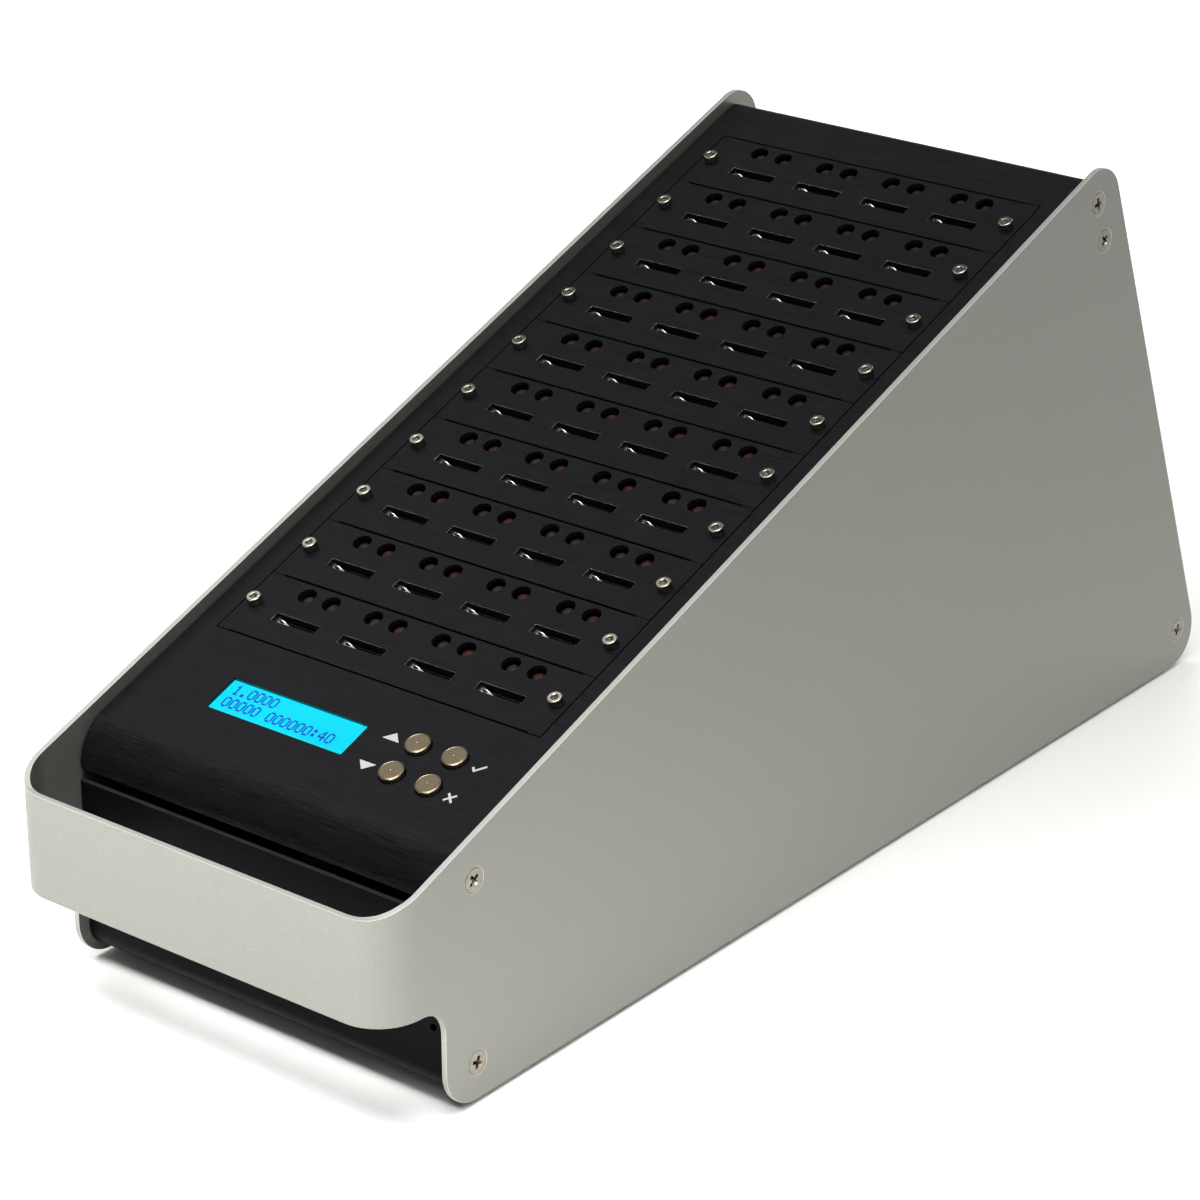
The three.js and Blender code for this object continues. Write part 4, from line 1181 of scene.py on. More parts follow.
@dataclass
class TopPanel:
    """The black sheet over the case: front lip, sloped face and flanges."""

    bend: float = 18
    lip_bottom: float = 78.8
    rear_corner: float = 4
    side_corner: float = 1.0
    flange: float = 18
    field_start: float = 65.5
    field_end: float = 389.5
    field_half: float = 76.2
    window: tuple[float, float, float, float] = (-50.45, 30.2, 14.05, 46.4)
    key_hole: float = 5.05

    def shell(self) -> Piece:
        """The bent sheet before its openings, in the slope's frame."""
        half = CASE.inner_half
        sine, cosine = math.sin(CASE.tilt), math.cos(CASE.tilt)
        piece = block("top_panel_dressed", (-half, -40, -60), (half, CASE.rear_face, 0))
        drop = CASE.slope_foot - self.lip_bottom
        lip = Vector((0, -drop * sine, -drop * cosine))
        with editing(piece):
            slice_off((0, 0, 0), (0, -cosine, sine))
            slice_off((0, 0, -self.flange), (0, 0, -1))
            run = Vector((0, self.flange, -self.flange - lip.z)).normalized()
            slice_off(lip, (0, run.z, -run.y))
            pick(Part.FACE, lambda face: face.normal.z < -0.5)
            bpy.ops.mesh.delete(type="FACE")
            turn = math.pi / 2 - CASE.tilt
            round_edges(lambda edge: runs(edge, "x") and middle(edge).yz.length < 1,
                        self.bend * math.tan(turn / 2), 20)
            round_edges(lambda edge: runs(edge, "x") and middle(edge).z > -1
                        and middle(edge).y > REAR_END, self.rear_corner, 8)
            round_edges(self.is_side_edge, self.side_corner, 4)
        modify(piece, "SOLIDIFY", thickness=CASE.sheet * MM, offset=-1, use_even_offset=True)
        return piece

    def is_side_edge(self, edge: Edge) -> bool:
        """Whether an edge joins the sloped face or a bend to a side flange."""
        sides = [abs(face.normal.x) > ALIGNED for face in edge.link_faces]
        return sorted(sides) == [False, True]

    def openings(self) -> list[Piece]:
        """Cutters for the plates' field, the display's window and the keys."""
        x0, y0, x1, y1 = self.window
        window = round_corners(block("window", (x0, y0, -CLEAR), (x1, y1, CLEAR)), 0.6, 4)
        field_cut = block("field", (-self.field_half, self.field_start, -CLEAR),
                          (self.field_half, self.field_end, CLEAR))
        holes = [
            round_bar("key_hole", self.key_hole, -CLEAR, CLEAR, place, 64)
            for place in KEYS.values()
        ]
        return [field_cut, window, *holes]

    def build(self) -> None:
        """Bends, cuts and dresses the panel."""
        piece = combine(self.shell(), self.openings())
        soften(piece, 0.25)
        settle(piece, CASE.slope)
        hand_over(dress(piece, BLACK), Slot.CASE, "top_panel")


@dataclass
class BottomTray:
    """The black tray: front face under the lip, floor, low side flanges and rear wall."""

    bottom: float = 5
    top: float = 73.7
    bend: float = 10
    rear_bend: float = 12
    flange_top: float = 29
    rear_top: float = 44
    inset: float = 5
    hole_radius: float = 1.5
    hole_height: float = 31
    hole_x: float = 79
    shaded_to: float = 300

    def shell(self) -> Piece:
        """The tray's sheet with full walls, in depths and heights."""
        half = CASE.inner_half
        rear_depth, rear_height = CASE.point(CASE.wall_length - self.inset, 0)
        piece = block("bottom_tray_dressed", (-half, CASE.fascia_depth, self.bottom),
                      (half, rear_depth + 120, self.top))
        with editing(piece):
            slice_off((0, rear_depth, rear_height), CASE.uphill)
            pick_ends(1)
            bpy.ops.mesh.delete(type="FACE")
            round_edges(lambda edge: runs(edge, "x") and middle(edge).z < self.bottom + 1
                        and middle(edge).y < 60, self.bend, 12)
            turn = math.pi / 2 + CASE.tilt
            round_edges(lambda edge: runs(edge, "x") and middle(edge).z < self.bottom + 1
                        and middle(edge).y > REAR_END, self.rear_bend * math.tan(turn / 2), 12)
        modify(piece, "SOLIDIFY", thickness=CASE.sheet * MM, offset=-1, use_even_offset=True)
        return piece

    def waste(self) -> Piece:
        """What is cut off the side and rear walls, over the low flanges and the rear wall."""
        inside = CASE.fascia_depth + CASE.sheet
        run, drop = 24, self.top - self.flange_top
        piece = block("waste", (-100, inside, self.flange_top), (100, 620, 140))
        with editing(piece):
            slice_off((0, inside, self.top), (0, -drop, -run))
        kept = block("kept_wall", (-110, 400, 0), (110, 640, self.rear_top))
        hair = 0.05
        with editing(kept):
            inner = CASE.point(CASE.wall_length - self.inset - CASE.sheet - hair, 0)
            slice_off((0, *inner), -CASE.uphill)
        return combine(piece, [kept])

    def build(self) -> None:
        """Bends, trims, drills and dresses the tray."""
        piece = combine(self.shell(), [self.waste()])
        holes = [
            settle(round_bar("hole", self.hole_radius, -CLEAR, CLEAR, sides=24),
                   shift(side * self.hole_x, CASE.fascia_depth, self.hole_height)
                   @ turned(math.pi / 2, "X"))
            for side in (-1, 1)
        ]
        combine(piece, holes)
        # The tray short of shaded_to is painted darker, as painted shade from the handle over its
        # front.
        dress(piece, TRAY_PAINTED_SHADE, BLACK_EDGE_HIGHLIGHT, BLACK)
        for face in piece.data.polygons:
            place = face.center / MM
            # The top rim, and the broken edges through soften, get a grey painted highlight.
            is_rim = face.normal.z > 0.9 and place.z > self.top - 1
            face.material_index = 1 if is_rim else 2 if place.y > self.shaded_to else 0
        soften(piece, 0.25, finish=1)
        settle(piece, CASE.upright)
        hand_over(piece, Slot.CASE, "bottom_tray")


# Screws


@dataclass
class SideScrews:
    """Ten countersunk screws with a cross recess, five on each side wall."""

    head_radius: float = 4.5
    head_height: float = 1.9
    land: float = 0.25
    shank_radius: float = 2.5
    length: float = 9
    arm: Pair = (2.9, 0.7)
    taper: Pair = (0.45, 0.8)
    recess: float = 2.6
    turns: Triple = (23, 31, 17)

    def model(self) -> Piece:
        """One screw, head up, its face at zero."""
        piece = round_bar("side_screw", self.head_radius, -self.land, 0, sides=64)
        steps = ((self.head_height - self.land, self.shank_radius / self.head_radius),
                 (self.length - self.head_height, 1.0))
        with editing(piece):
            for drop, share in steps:
                pick_ends(-1)
                push(-drop, share)
        return combine(piece, [self.cross()])

    def cross(self) -> Piece:
        """The cross recess: two tapering arms that meet."""
        arms = []
        for (long, wide), shares in ((self.arm, self.taper), (self.arm[::-1], self.taper[::-1])):
            arm = block("arm", (-long, -wide, -self.recess), (long, wide, 1))
            with editing(arm):
                pick_ends(-1)
                bpy.ops.transform.resize(value=(*shares, 1))
            arms.append(arm)
        return combine(arms[0], [arms[1]], "UNION")

    def build(self) -> None:
        """Copies the screw to its ten places, each turned a little further."""
        model, (first, step, by_side) = self.model(), self.turns
        soften(model, 0.12)
        copy_out(dress(model, ZINC), Slot.SCREW, {
            f"side_screw_{side_name}_{name}": CASE.at_side(side, *place)
            @ turned(math.radians(first + step * number + by_side * side))
            for number, (name, place) in enumerate(CASE.side_screws().items())
            for side, side_name in SIDES
        })


@dataclass
class RailsAndCapScrews:
    """Tapped bars under the plates' ends, and the socket screws that hold the plates."""

    inner: float = 65
    outer: float = 79.5
    start: float = 66.1
    end: float = 388.9
    height: float = 9
    border: float = 1.6
    hollow: float = 0.3
    screw_x: float = 70.7
    head_radius: float = 2.8
    head_height: float = 3
    head_edge: float = 0.45
    shank_radius: float = 1.5
    shank_length: float = 7
    socket_radius: float = 1.45
    socket_floor: float = 1.9
    lead_in: Pair = (2.95, 3.6)
    turns: Pair = (37, 11)

    def screw(self) -> Piece:
        """One socket screw: straight head with a turned edge, and a six-sided socket."""
        head = round_bar("cap_screw", self.head_radius, GAP, GAP + self.head_height)
        with editing(head):
            round_edges(lambda edge: middle(edge).z > self.head_height and way(edge).z == 0,
                        self.head_edge, 4)
            pick_ends(-1)
            bpy.ops.mesh.inset(thickness=(self.head_radius - self.shank_radius) * MM)
            push(-self.shank_length)
        socket = round_bar("socket", self.socket_radius, self.socket_floor, 5, sides=6)
        lead = round_bar("lead", self.socket_radius * 0.7, *self.lead_in,
                         top_radius=self.socket_radius * 1.5)
        combine(head, [socket])
        return combine(head, [lead])

    def build(self) -> None:
        """Makes both rails and places the screws."""
        for side, name in SIDES:
            low, high = sorted((side * self.inner, side * self.outer))
            rail = block(f"plate_rail_{name}_dressed", (low, self.start, UNDER - self.height),
                         (high, self.end, UNDER))
            with editing(rail):
                pick_ends(1)
                bpy.ops.mesh.inset(thickness=self.border * MM)
                bpy.ops.transform.translate(value=(0, 0, -self.hollow * MM))
            soften(rail, 0.3)
            settle(rail, CASE.slope)
            hand_over(dress(rail, BAR_ALUMINIUM), Slot.RAIL, f"plate_rail_{name}")
        model = self.screw()
        soften(model, 0.06)
        copy_out(dress(model, CAP_NICKEL), Slot.SCREW, {
            f"cap_screw_{name}_{row + 1:02d}": CASE.slope
            @ shift(side * self.screw_x, PLATES.screw_line(row))
            @ turned(math.radians(self.turns[0] * row + self.turns[1] * side))
            for row in range(PLATES.rows) for side, name in SIDES
        }, in_cad=False)


# Port plates and boards


def post(floor: float, place: Pair) -> Piece:
    """A six-sided steel post from a board to the top panel.

    Args:
        floor: height of the board's face.
        place: X and Y of its axis.

    Returns:
        The post, dressed.
    """
    piece = round_bar("post", 2.5, floor - 0.8, UNDER, place, 6)
    soften(piece, 0.2)
    return dress(piece, STEEL)


@dataclass
class CardSocket:
    """A card socket: resin body, contacts, and the tinned leaf seen in the slot.

    Places lie around the slot's middle. Low and high are the two corners of a block.
    """

    body: Pair = (12.05, 3.7)
    mouth: Pair = (10.85, 2.5)
    mouth_floor: float = -24
    leaf_low: Triple = (-10.3, -2.3, -2.05)
    leaf_high: Triple = (-1.2, 1.7, -1.75)
    leaf_cut: Pair = (-9.0, 1.7)
    leaf_cut_way: Triple = (0.36, 0.93, 0)
    hump: Pair = (-7.0, 0.15)
    hump_radii: Pair = (1.25, 0.35)
    hump_heights: Pair = (-1.8, -0.9)
    hump_shares: Pair = (1.5, 0.72)
    stop_low: Triple = (8.9, -2.3, -1.9)
    stop_high: Triple = (10.6, -0.4, -1.5)
    spring_low: Triple = (-10.6, 2.05, -20)
    spring_high: Triple = (10.6, 2.3, -3.2)
    spring_lean: float = -0.8
    contacts: int = 8
    contact_pitch: float = 2.4
    contact_low: Triple = (-0.4, 0.7, -16)
    contact_high: Triple = (0.4, 1.0, -5)
    contact_lean: float = 0.7

    def slab(self, name: str, x: float, line: float, low: Triple, high: Triple
             ) -> Piece:
        """A block whose corners are given from a point of the plate."""
        return block(name, (x + low[0], line + low[1], low[2]),
                     (x + high[0], line + high[1], high[2]))

    def lean(self, piece: Piece, above: float, by: float) -> None:
        """Moves a piece's upper long edges up or down the slope.

        Args:
            piece: a thin block.
            above: height over which its edges are moved.
            by: how far up the slope.
        """
        with editing(piece):
            pick(Part.EDGE, lambda edge: runs(edge, "x") and middle(edge).z > above)
            bpy.ops.transform.translate(value=(0, by * MM, 0))

    def build(self, x: float, line: float, floor: float) -> list[Piece]:
        """Makes one socket.

        Args:
            x: the port's place across.
            line: how far up the slope its slot lies.
            floor: height of the board's face.

        Returns:
            The socket's solids, dressed.
        """
        body = box("socket", (x, line), self.body, floor, UNDER)
        combine(body, [box("mouth", (x, line), self.mouth, self.mouth_floor, 1)])
        soften(body, 0.2)
        leaf = self.slab("leaf", x, line, self.leaf_low, self.leaf_high)
        with editing(leaf):
            slice_off((x + self.leaf_cut[0], line + self.leaf_cut[1], 0), self.leaf_cut_way)
        soften(leaf, 0.1)
        place, foot = (x + self.hump[0], line + self.hump[1]), self.hump_heights[0]
        hump = round_bar("hump", self.hump_radii[0], *self.hump_heights, place, 20,
                         self.hump_radii[1])
        with editing(hump):
            bpy.ops.mesh.select_all(action="SELECT")
            bpy.ops.transform.resize(
                value=(*self.hump_shares, 1), center_override=Vector((*place, foot)) * MM)
        soften(hump, 0.3, 3)
        stop = self.slab("stop", x, line, self.stop_low, self.stop_high)
        soften(stop, 0.1)
        spring = self.slab("spring", x, line, self.spring_low, self.spring_high)
        self.lean(spring, -4, self.spring_lean)
        contacts = []
        for number in range(self.contacts):
            across = x + (number - (self.contacts - 1) / 2) * self.contact_pitch
            contacts.append(
                self.slab("contact", across, line, self.contact_low, self.contact_high))
            self.lean(contacts[-1], -6, self.contact_lean)
        metal = joined(leaf, hump, stop, spring, *contacts)
        return [dress(body, SOCKET_PLASTIC), dress(metal, SOCKET_STEEL)]


@dataclass
class PortPlates:
    """Ten plates with four slots and eight lamp holes each, and the boards under them."""

    rows: int = 10
    ports: int = 4
    pitch: float = 32.34
    start: float = 65.8
    gap: float = 0.6
    half: float = 75.6
    sheet: float = 2
    screw_up: float = 16.1
    port_pitch: float = 32.1
    slot: Pair = (20.9, 4.2)
    slot_up: float = 12.6
    lamp_up: float = 26.4
    lamp_pitch: float = 11.7
    lamp_hole: float = 3.65
    lamp_radius: float = 2.5
    lamp_top: float = -1.8
    relief: float = 0.2
    relief_end: float = 5.3
    screw_hole: float = 1.8
    tight: float = 0.15
    board_face: float = -27
    board_half: Pair = (63, 14.5)
    board_sheet: float = 1.6
    post_x: float = 60.5
    port_x: list[float] = field(init=False)

    def __post_init__(self) -> None:
        """Works out where the ports lie across a plate."""
        self.port_x = [(port - (self.ports - 1) / 2) * self.port_pitch
                       for port in range(self.ports)]

    def screw_line(self, row: int) -> float:
        """How far up the slope a plate's two screws lie."""
        return self.start + row * self.pitch + self.screw_up

    @property
    def slot_line(self) -> float:
        """How far up the slope the first row's slots lie."""
        return self.start + self.slot_up

    def plate(self) -> Piece:
        """The first row's plate, its long edges eased back between the ends."""
        low, high = self.start + self.gap / 2, self.start + self.pitch - self.gap / 2
        piece = block("port_plate", (-self.half, low - self.tight, -self.sheet),
                      (self.half, high + self.tight, 0))
        eased = self.half - self.relief_end
        tools = []
        for edge, side in ((low - self.tight, -1), (high + self.tight, 1)):
            inner = edge - side * (self.relief + self.tight)
            first, last = sorted((inner, edge + side * 2))
            tools.append(block("ease", (-eased, first, -CLEAR), (eased, last, CLEAR)))
        for x in self.port_x:
            tools.append(self.slot_cutter(x))
            for side, _ in SIDES:
                place = (x + side * self.lamp_pitch / 2, self.start + self.lamp_up)
                tools.append(round_bar("lamp_hole", self.lamp_hole, -CLEAR, CLEAR, place, 40))
        for side, _ in SIDES:
            place = (side * RAILS.screw_x, self.screw_line(0))
            tools.append(round_bar("screw_hole", self.screw_hole, -CLEAR, CLEAR, place, 24))
        combine(piece, tools)
        soften(piece, 0.2)
        # The slots' broken edges get a painted highlight.
        dress(piece, BLACK, SLOT_EDGE_HIGHLIGHT)
        for face in piece.data.polygons:
            face.material_index = int(self.is_slot_edge(face))
        return piece

    def is_slot_edge(self, face: bpy.types.MeshPolygon) -> bool:
        """Whether a face belongs to a slot's broken edge, which gets a painted highlight.

        Args:
            face: a face of the plate.

        Returns:
            Whether it does.
        """
        place, (wide, high) = face.center / MM, self.slot
        at_slot = any(abs(place.x - x) < wide / 2 + 0.3 for x in self.port_x)
        in_line = abs(place.y - self.slot_line) < high / 2 + 0.3
        return at_slot and in_line and 0.15 < face.normal.z < 0.97

    def slot_cutter(self, x: float) -> Piece:
        """A cutter for one card slot, its corners a little rounded."""
        half = [size / 2 for size in self.slot]
        return round_corners(box("slot", (x, self.slot_line), half, -CLEAR, CLEAR), 0.25, 2)

    def lamp(self, x: float, lens: Finish) -> Piece:
        """One lamp under its hole: a lens with a rounded rim on a straight stem.

        Args:
            x: its place across.
            lens: its finish.

        Returns:
            The lamp, dressed.
        """
        piece = round_bar("lamp", self.lamp_radius, self.board_face, self.lamp_top - 1.5,
                          (x, self.start + self.lamp_up), 28)
        with editing(piece):
            for share, lift in ((0.92, 0.75), (0.72, 0.5), (0.4, 0.25)):
                pick_ends(1, LEVEL)
                push(lift, share)
        smooth(piece, 40, weighted=False)
        return dress(piece, lens)

    def board(self) -> Piece:
        """The first row's board with its sockets, lamps and posts, all in one mesh."""
        middle_up = self.start + self.pitch / 2
        sheet = box("port_board", (0, middle_up), self.board_half,
                    self.board_face - self.board_sheet, self.board_face)
        soften(sheet, 0.2)
        pieces = [dress(sheet, BOARD)]
        for x in self.port_x:
            pieces += CardSocket().build(x, self.slot_line, self.board_face)
            for side, lens in ((-1, READY_LENS), (1, FAULT_LENS)):
                pieces.append(self.lamp(x + side * self.lamp_pitch / 2, lens))
        for side, _ in SIDES:
            pieces.append(post(self.board_face, (side * self.post_x, middle_up)))
        return joined(*pieces)

    def build(self) -> None:
        """Copies the plate and the board to every row."""
        models = (
            (self.plate(), "port_plate", Slot.CASE),
            (self.board(), "port_board", Slot.BOARD),
        )
        for model, node, slot in models:
            copy_out(model, slot, {
                f"{node}_{row + 1:02d}": CASE.slope @ shift(0, row * self.pitch)
                for row in range(self.rows)
            })


PLATES = PortPlates()
RAILS = RailsAndCapScrews()

KEYS: dict[str, Pair] = {
    f"key_{row}_{column}": (46.2 + across * 8.3, 37.4 + up * 7.4)
    for row, up in (("upper", 1), ("lower", -1))
    for column, across in (("left", -1), ("right", 1))
}


# The control field


@dataclass
class Keys:
    """Four round keys, each on a body of its own."""

    radius: float = 4.75
    proud: float = 1.7
    rim: float = 0.3
    flange_radius: float = 6
    stem_radius: float = 2
    facets: int = 20

    def model(self) -> Piece:
        """One key: a turned cap with a flat face, and its flange and stem below the panel."""
        piece = round_bar("key", self.radius, UNDER, self.proud, sides=96)
        # Lift and scale of each ring, inwards over the face, and down over flange and stem
        face_rings = ((0.0, 0.985), (-0.06, 0.97), (0.05, 0.97), (0.0, 0.09), (-0.12, 0.6))
        stem_rings = ((0.0, self.flange_radius / self.radius), (-1.2, 1.0),
                      (0.0, self.stem_radius / self.flange_radius), (-2.4, 1.0))
        with editing(piece):
            round_edges(lambda edge: middle(edge).z > self.proud - 0.1
                        and abs(way(edge).z) < 0.1, self.rim, 2)
            for sign, rings in ((1, face_rings), (-1, stem_rings)):
                for lift, share in rings:
                    pick_ends(sign, LEVEL, self.facets)
                    push(lift, share)
        smooth(piece, 19)
        dress(piece, NICKEL, KEY_FACE)
        for face in piece.data.polygons:
            face.material_index = int(face.normal.z > 0.8)
        return piece

    def build(self) -> None:
        """Copies the key to its four places."""
        model = self.model()
        for name, place in KEYS.items():
            key = copied(model, f"{name}_dressed", CASE.slope @ shift(*place))
            hand_over(key, Slot.KEY, name, body=name)
        discard(model)


@dataclass
class Display:
    """The lit character display, its glass and the clear pane let into the window."""

    centre: Pair = (-18.2, 38.3)
    frame_height: float = 7
    frame_half: Pair = (35.5, 13)
    board_half: Pair = (40, 18)
    post_half: Pair = (37.5, 15.5)
    board_sheet: float = 1.6
    glass_top: float = -1.2
    pane_top: float = -0.1
    pane_sheet: float = 0.8
    window: Pair = (64.5, 16.2)
    cell: Pair = (3.52, 6.4)
    first: Pair = (-46.8, 44.6)
    dot: Pair = (0.6, 0.7)
    lines: tuple[str, str] = ("1.0000", "00000 000000:40")
    shapes: dict[str, tuple[int, ...]] = field(default_factory=lambda: {
        "0": (14, 17, 17, 17, 17, 17, 14), "1": (4, 12, 4, 4, 4, 4, 14),
        "4": (2, 6, 10, 18, 31, 2, 2), ".": (0, 0, 0, 0, 0, 12, 12),
        ":": (0, 12, 12, 0, 12, 12, 0),
    })

    def in_window(self, name: str, bottom: float, top: float) -> Piece:
        """A block that fits the window with a gap all round, between two heights."""
        return box(name, self.centre, [size / 2 - GAP for size in self.window], bottom, top)

    def module(self) -> None:
        """The module: a board on posts, its metal frame, and the lit glass in that."""
        (x, up), (across, along) = self.centre, self.post_half
        face = UNDER - self.frame_height
        board = box("display_module_dressed", self.centre, self.board_half,
                    face - self.board_sheet, face)
        soften(board, 0.2)
        bezel = box("bezel", self.centre, self.frame_half, face, UNDER)
        soften(bezel, 0.4)
        glass = self.in_window("glass", UNDER - 0.5, self.glass_top)
        with editing(glass):
            pick_ends(1)
            bpy.ops.mesh.inset(thickness=0.25 * MM)
        soften(glass, 0.08)
        posts = [post(face, (x + side * across, up + end * along))
                 for side in (-1, 1) for end in (-1, 1)]
        joined(dress(board, BOARD), dress(bezel, STEEL), dress(glass, GLOW), *posts)
        settle(board, CASE.slope)
        hand_over(board, Slot.DISPLAY, "display_module")

    def pane(self) -> None:
        """The clear pane, its upper edge broken all round."""
        pane = self.in_window("display_pane_dressed", self.pane_top - self.pane_sheet,
                              self.pane_top)
        soften(pane, 0.12)
        settle(pane, CASE.slope)
        hand_over(dress(pane, ACRYLIC), Slot.PANE, "display_pane")

    def digits(self) -> None:
        """The dots of two lines of plain digits, one low tile for each dot."""
        floor, (wide, high) = self.glass_top - 0.02, self.dot
        model = block("dot", (-0.03, -high - 0.01, floor), (wide + 0.03, 0.01, floor + 0.06))
        dots = []
        for line, text in enumerate(self.lines):
            for column, letter in enumerate(text):
                for row, bits in enumerate(self.shapes.get(letter, ())):
                    for bit in (bit for bit in range(5) if bits & (16 >> bit)):
                        place = shift(self.first[0] + column * self.cell[0] + bit * wide,
                                      self.first[1] - line * self.cell[1] - row * high)
                        dots.append(copied(model, "dot", place))
        discard(model)
        piece = joined(*dots)
        piece.name = "display_digits"
        settle(piece, CASE.slope)
        hand_over(dress(piece, INK), Slot.DISPLAY)

    def build(self) -> None:
        """Builds the module, its digits and the pane."""
        self.module()
        self.digits()
        self.pane()


@dataclass
class PrintedMarks:
    """White marks by the keys: two triangles, a tick and a cross."""

    thickness: float = 0.04
    stroke: float = 0.9

    def triangle(
        self, name: str, base: Triple, apex: Pair
    ) -> None:
        """One triangle, as printed beside a key.

        Args:
            name: the mark's name.
            base: its left end, right end and height up the slope.
            apex: the point across from the base.
        """
        left, right, up = base
        low, high = sorted((up, apex[1]))
        mark = block(name, (left, low, 0), (right, high, self.thickness))
        tip = Vector((*apex, 0))
        for corner in (left, right):
            start = Vector((corner, up, 0))
            run = (tip - start).normalized()
            outward = Vector((run.y, -run.x, 0))
            if outward.x * (corner - apex[0]) < 0:
                outward.negate()
            with editing(mark):
                slice_off(start, outward)
        self.print_on(mark)

    def bar(self, start: Pair, end: Pair) -> Piece:
        """A straight printed stroke.

        Args:
            start: one end, in the slope's frame.
            end: the other end.

        Returns:
            The stroke.
        """
        run, half = Vector(end) - Vector(start), self.stroke / 2
        piece = block("stroke", (0, -half, 0), (run.length, half, self.thickness))
        return settle(piece, shift(*start) @ turned(math.atan2(run.y, run.x)))

    def print_on(self, mark: Piece) -> None:
        """Lays a mark on the sloped face."""
        settle(mark, CASE.slope)
        hand_over(dress(mark, PRINT), Slot.CASE)

    def build(self) -> None:
        """Prints all four marks."""
        self.triangle("mark_up", (22.5, 30.1, 43.2), (26.4, 47.0))
        self.triangle("mark_down", (22.2, 29.8, 31.1), (25.9, 27.2))
        for name, first, second in (
            ("mark_tick", ((63.0, 44.2), (64.6, 42.5)), ((64.2, 42.4), (67.6, 46.2))),
            ("mark_cross", ((63.2, 26.8), (66.8, 30.4)), ((63.2, 30.4), (66.8, 26.8))),
        ):
            mark = combine(self.bar(*first), [self.bar(*second)], "UNION")
            mark.name = name
            self.print_on(mark)


# The rear and the underside


@dataclass
class RearFittings:
    """The rear panel with its fan, power inlet and switch."""

    fan_rise: float = -75
    frame_half: float = 40
    frame_bottom: float = -27.3
    bore_radius: float = 37.5
    arm_half: Pair = (39, 3.5)
    arm_top: float = -24.3
    cup_radius: float = 15.5
    pin: Triple = (2, -25, -11.3)
    hub: Triple = (15, -19.3, -3.3)
    hub_edge: float = 1.2
    well: Triple = (2.4, -21, -10.9)
    blades: int = 7
    blade_reach: Pair = (14.2, 35.8)
    blade_heights: Pair = (-17.4, -5.4)
    blade_half: float = 0.7
    blade_steps: int = 8
    sweep: float = math.radians(40)
    inlet_x: float = -30
    fitting_rise: float = -167.42
    flange_half: Pair = (24, 15)
    flange_top: float = 2.8
    body_half: Pair = (15.5, 12)
    body_bottom: float = -24
    mouth_half: Pair = (12.2, 8.2)
    mouth_floor: float = -17.2
    corner: float = 4
    prongs: tuple[Pair, ...] = ((-7, 2), (0, -2), (7, 2))
    prong_half: Pair = (1, 2)
    prong_heights: Pair = (-18.2, -5.2)

    def panel(self) -> None:
        """The panel itself, its cut edges broken."""
        piece = refined("rear_panel")
        soften(piece, 0.35)
        hand_over(dress(piece, BLACK), Slot.CASE, "rear_panel")

    def fan_frame(self) -> None:
        """A square frame with a round bore, four arms and the motor's cup."""
        bottom, top = self.frame_bottom, self.arm_top
        piece = round_corners(
            box("fan_frame_dressed", (0, 0), (self.frame_half,) * 2, bottom, UNDER),
            self.corner, 6)
        combine(piece, [round_bar("bore", self.bore_radius, -30, 0, sides=96)])
        for quarter in range(2):
            arm = settle(box("arm", (0, 0), self.arm_half, bottom, top),
                         turned(quarter * math.pi / 2))
            combine(piece, [arm], "UNION")
        combine(piece, [round_bar("cup", self.cup_radius, bottom, top, sides=64)], "UNION")
        combine(piece, [round_bar("pin", *self.pin, sides=32)], "UNION")
        soften(piece, 0.4)
        settle(piece, CASE.at_rear(0, self.fan_rise))
        hand_over(dress(piece, PLASTIC), Slot.PLASTIC, "fan_frame")

    def blade(self) -> Piece:
        """One fan blade: an upright strip, turned a little further with each step up."""
        (low, high), steps = self.blade_heights, self.blade_steps
        (inner, outer), half = self.blade_reach, self.blade_half
        piece = block("blade", (inner, -half, low), (outer, half, high))
        heights = [low + (high - low) * step / steps for step in range(steps + 1)]
        with editing(piece):
            for height in heights[1:-1]:
                slice_off((0, 0, height), (0, 0, 1), keep_both=True)
            for step, height in enumerate(heights):
                pick(Part.VERT, lambda vert, height=height: abs(vert.co.z / MM - height) < 0.1)
                bpy.ops.transform.rotate(
                    value=-self.sweep * (step / steps - 0.5), orient_axis="Z",
                    orient_type="GLOBAL", center_override=(0, 0, 0))
        soften(piece, 0.3, limit=50)
        return piece

    def fan_rotor(self) -> None:
        """Hub and seven twisted blades, with the hollow for the pin."""
        hub = round_bar("fan_rotor_dressed", *self.hub, sides=64)
        with editing(hub):
            round_edges(lambda edge: middle(edge).z > self.hub[2] - 0.2
                        and abs(way(edge).z) < 0.1, self.hub_edge, 4)
        combine(hub, [round_bar("well", *self.well, sides=32)])
        soften(hub, 0.3)
        blades = [settle(self.blade(), turned(number * math.tau / self.blades))
                  for number in range(self.blades)]
        joined(hub, *blades)
        settle(hub, CASE.at_rear(0, self.fan_rise))
        hand_over(dress(hub, PLASTIC), Slot.PLASTIC, "fan_rotor", body=Body.FAN.value)

    def inlet(self) -> None:
        """The mains inlet: flange, deep mouth with two cut corners, and three blades."""
        flange = round_corners(
            box("power_inlet_dressed", (0, 0), self.flange_half, GAP, self.flange_top),
            self.corner, 8)
        body = box("body", (0, 0), self.body_half, self.body_bottom, self.flange_top)
        combine(flange, [body], "UNION")
        mouth = box("mouth", (0, 0), self.mouth_half, self.mouth_floor, 4)
        with editing(mouth):
            round_edges(lambda edge: runs(edge, "z") and middle(edge).y > 0, self.corner, 1)
        combine(flange, [mouth])
        soften(flange, 0.4)
        prongs = []
        for place in self.prongs:
            prong = box("prong", place, self.prong_half, *self.prong_heights)
            soften(prong, 0.5)
            prongs.append(dress(prong, CAP_NICKEL))
        joined(dress(flange, PLASTIC), *prongs)
        settle(flange, CASE.at_rear(self.inlet_x, self.fitting_rise))
        hand_over(flange, Slot.PLASTIC, "power_inlet")

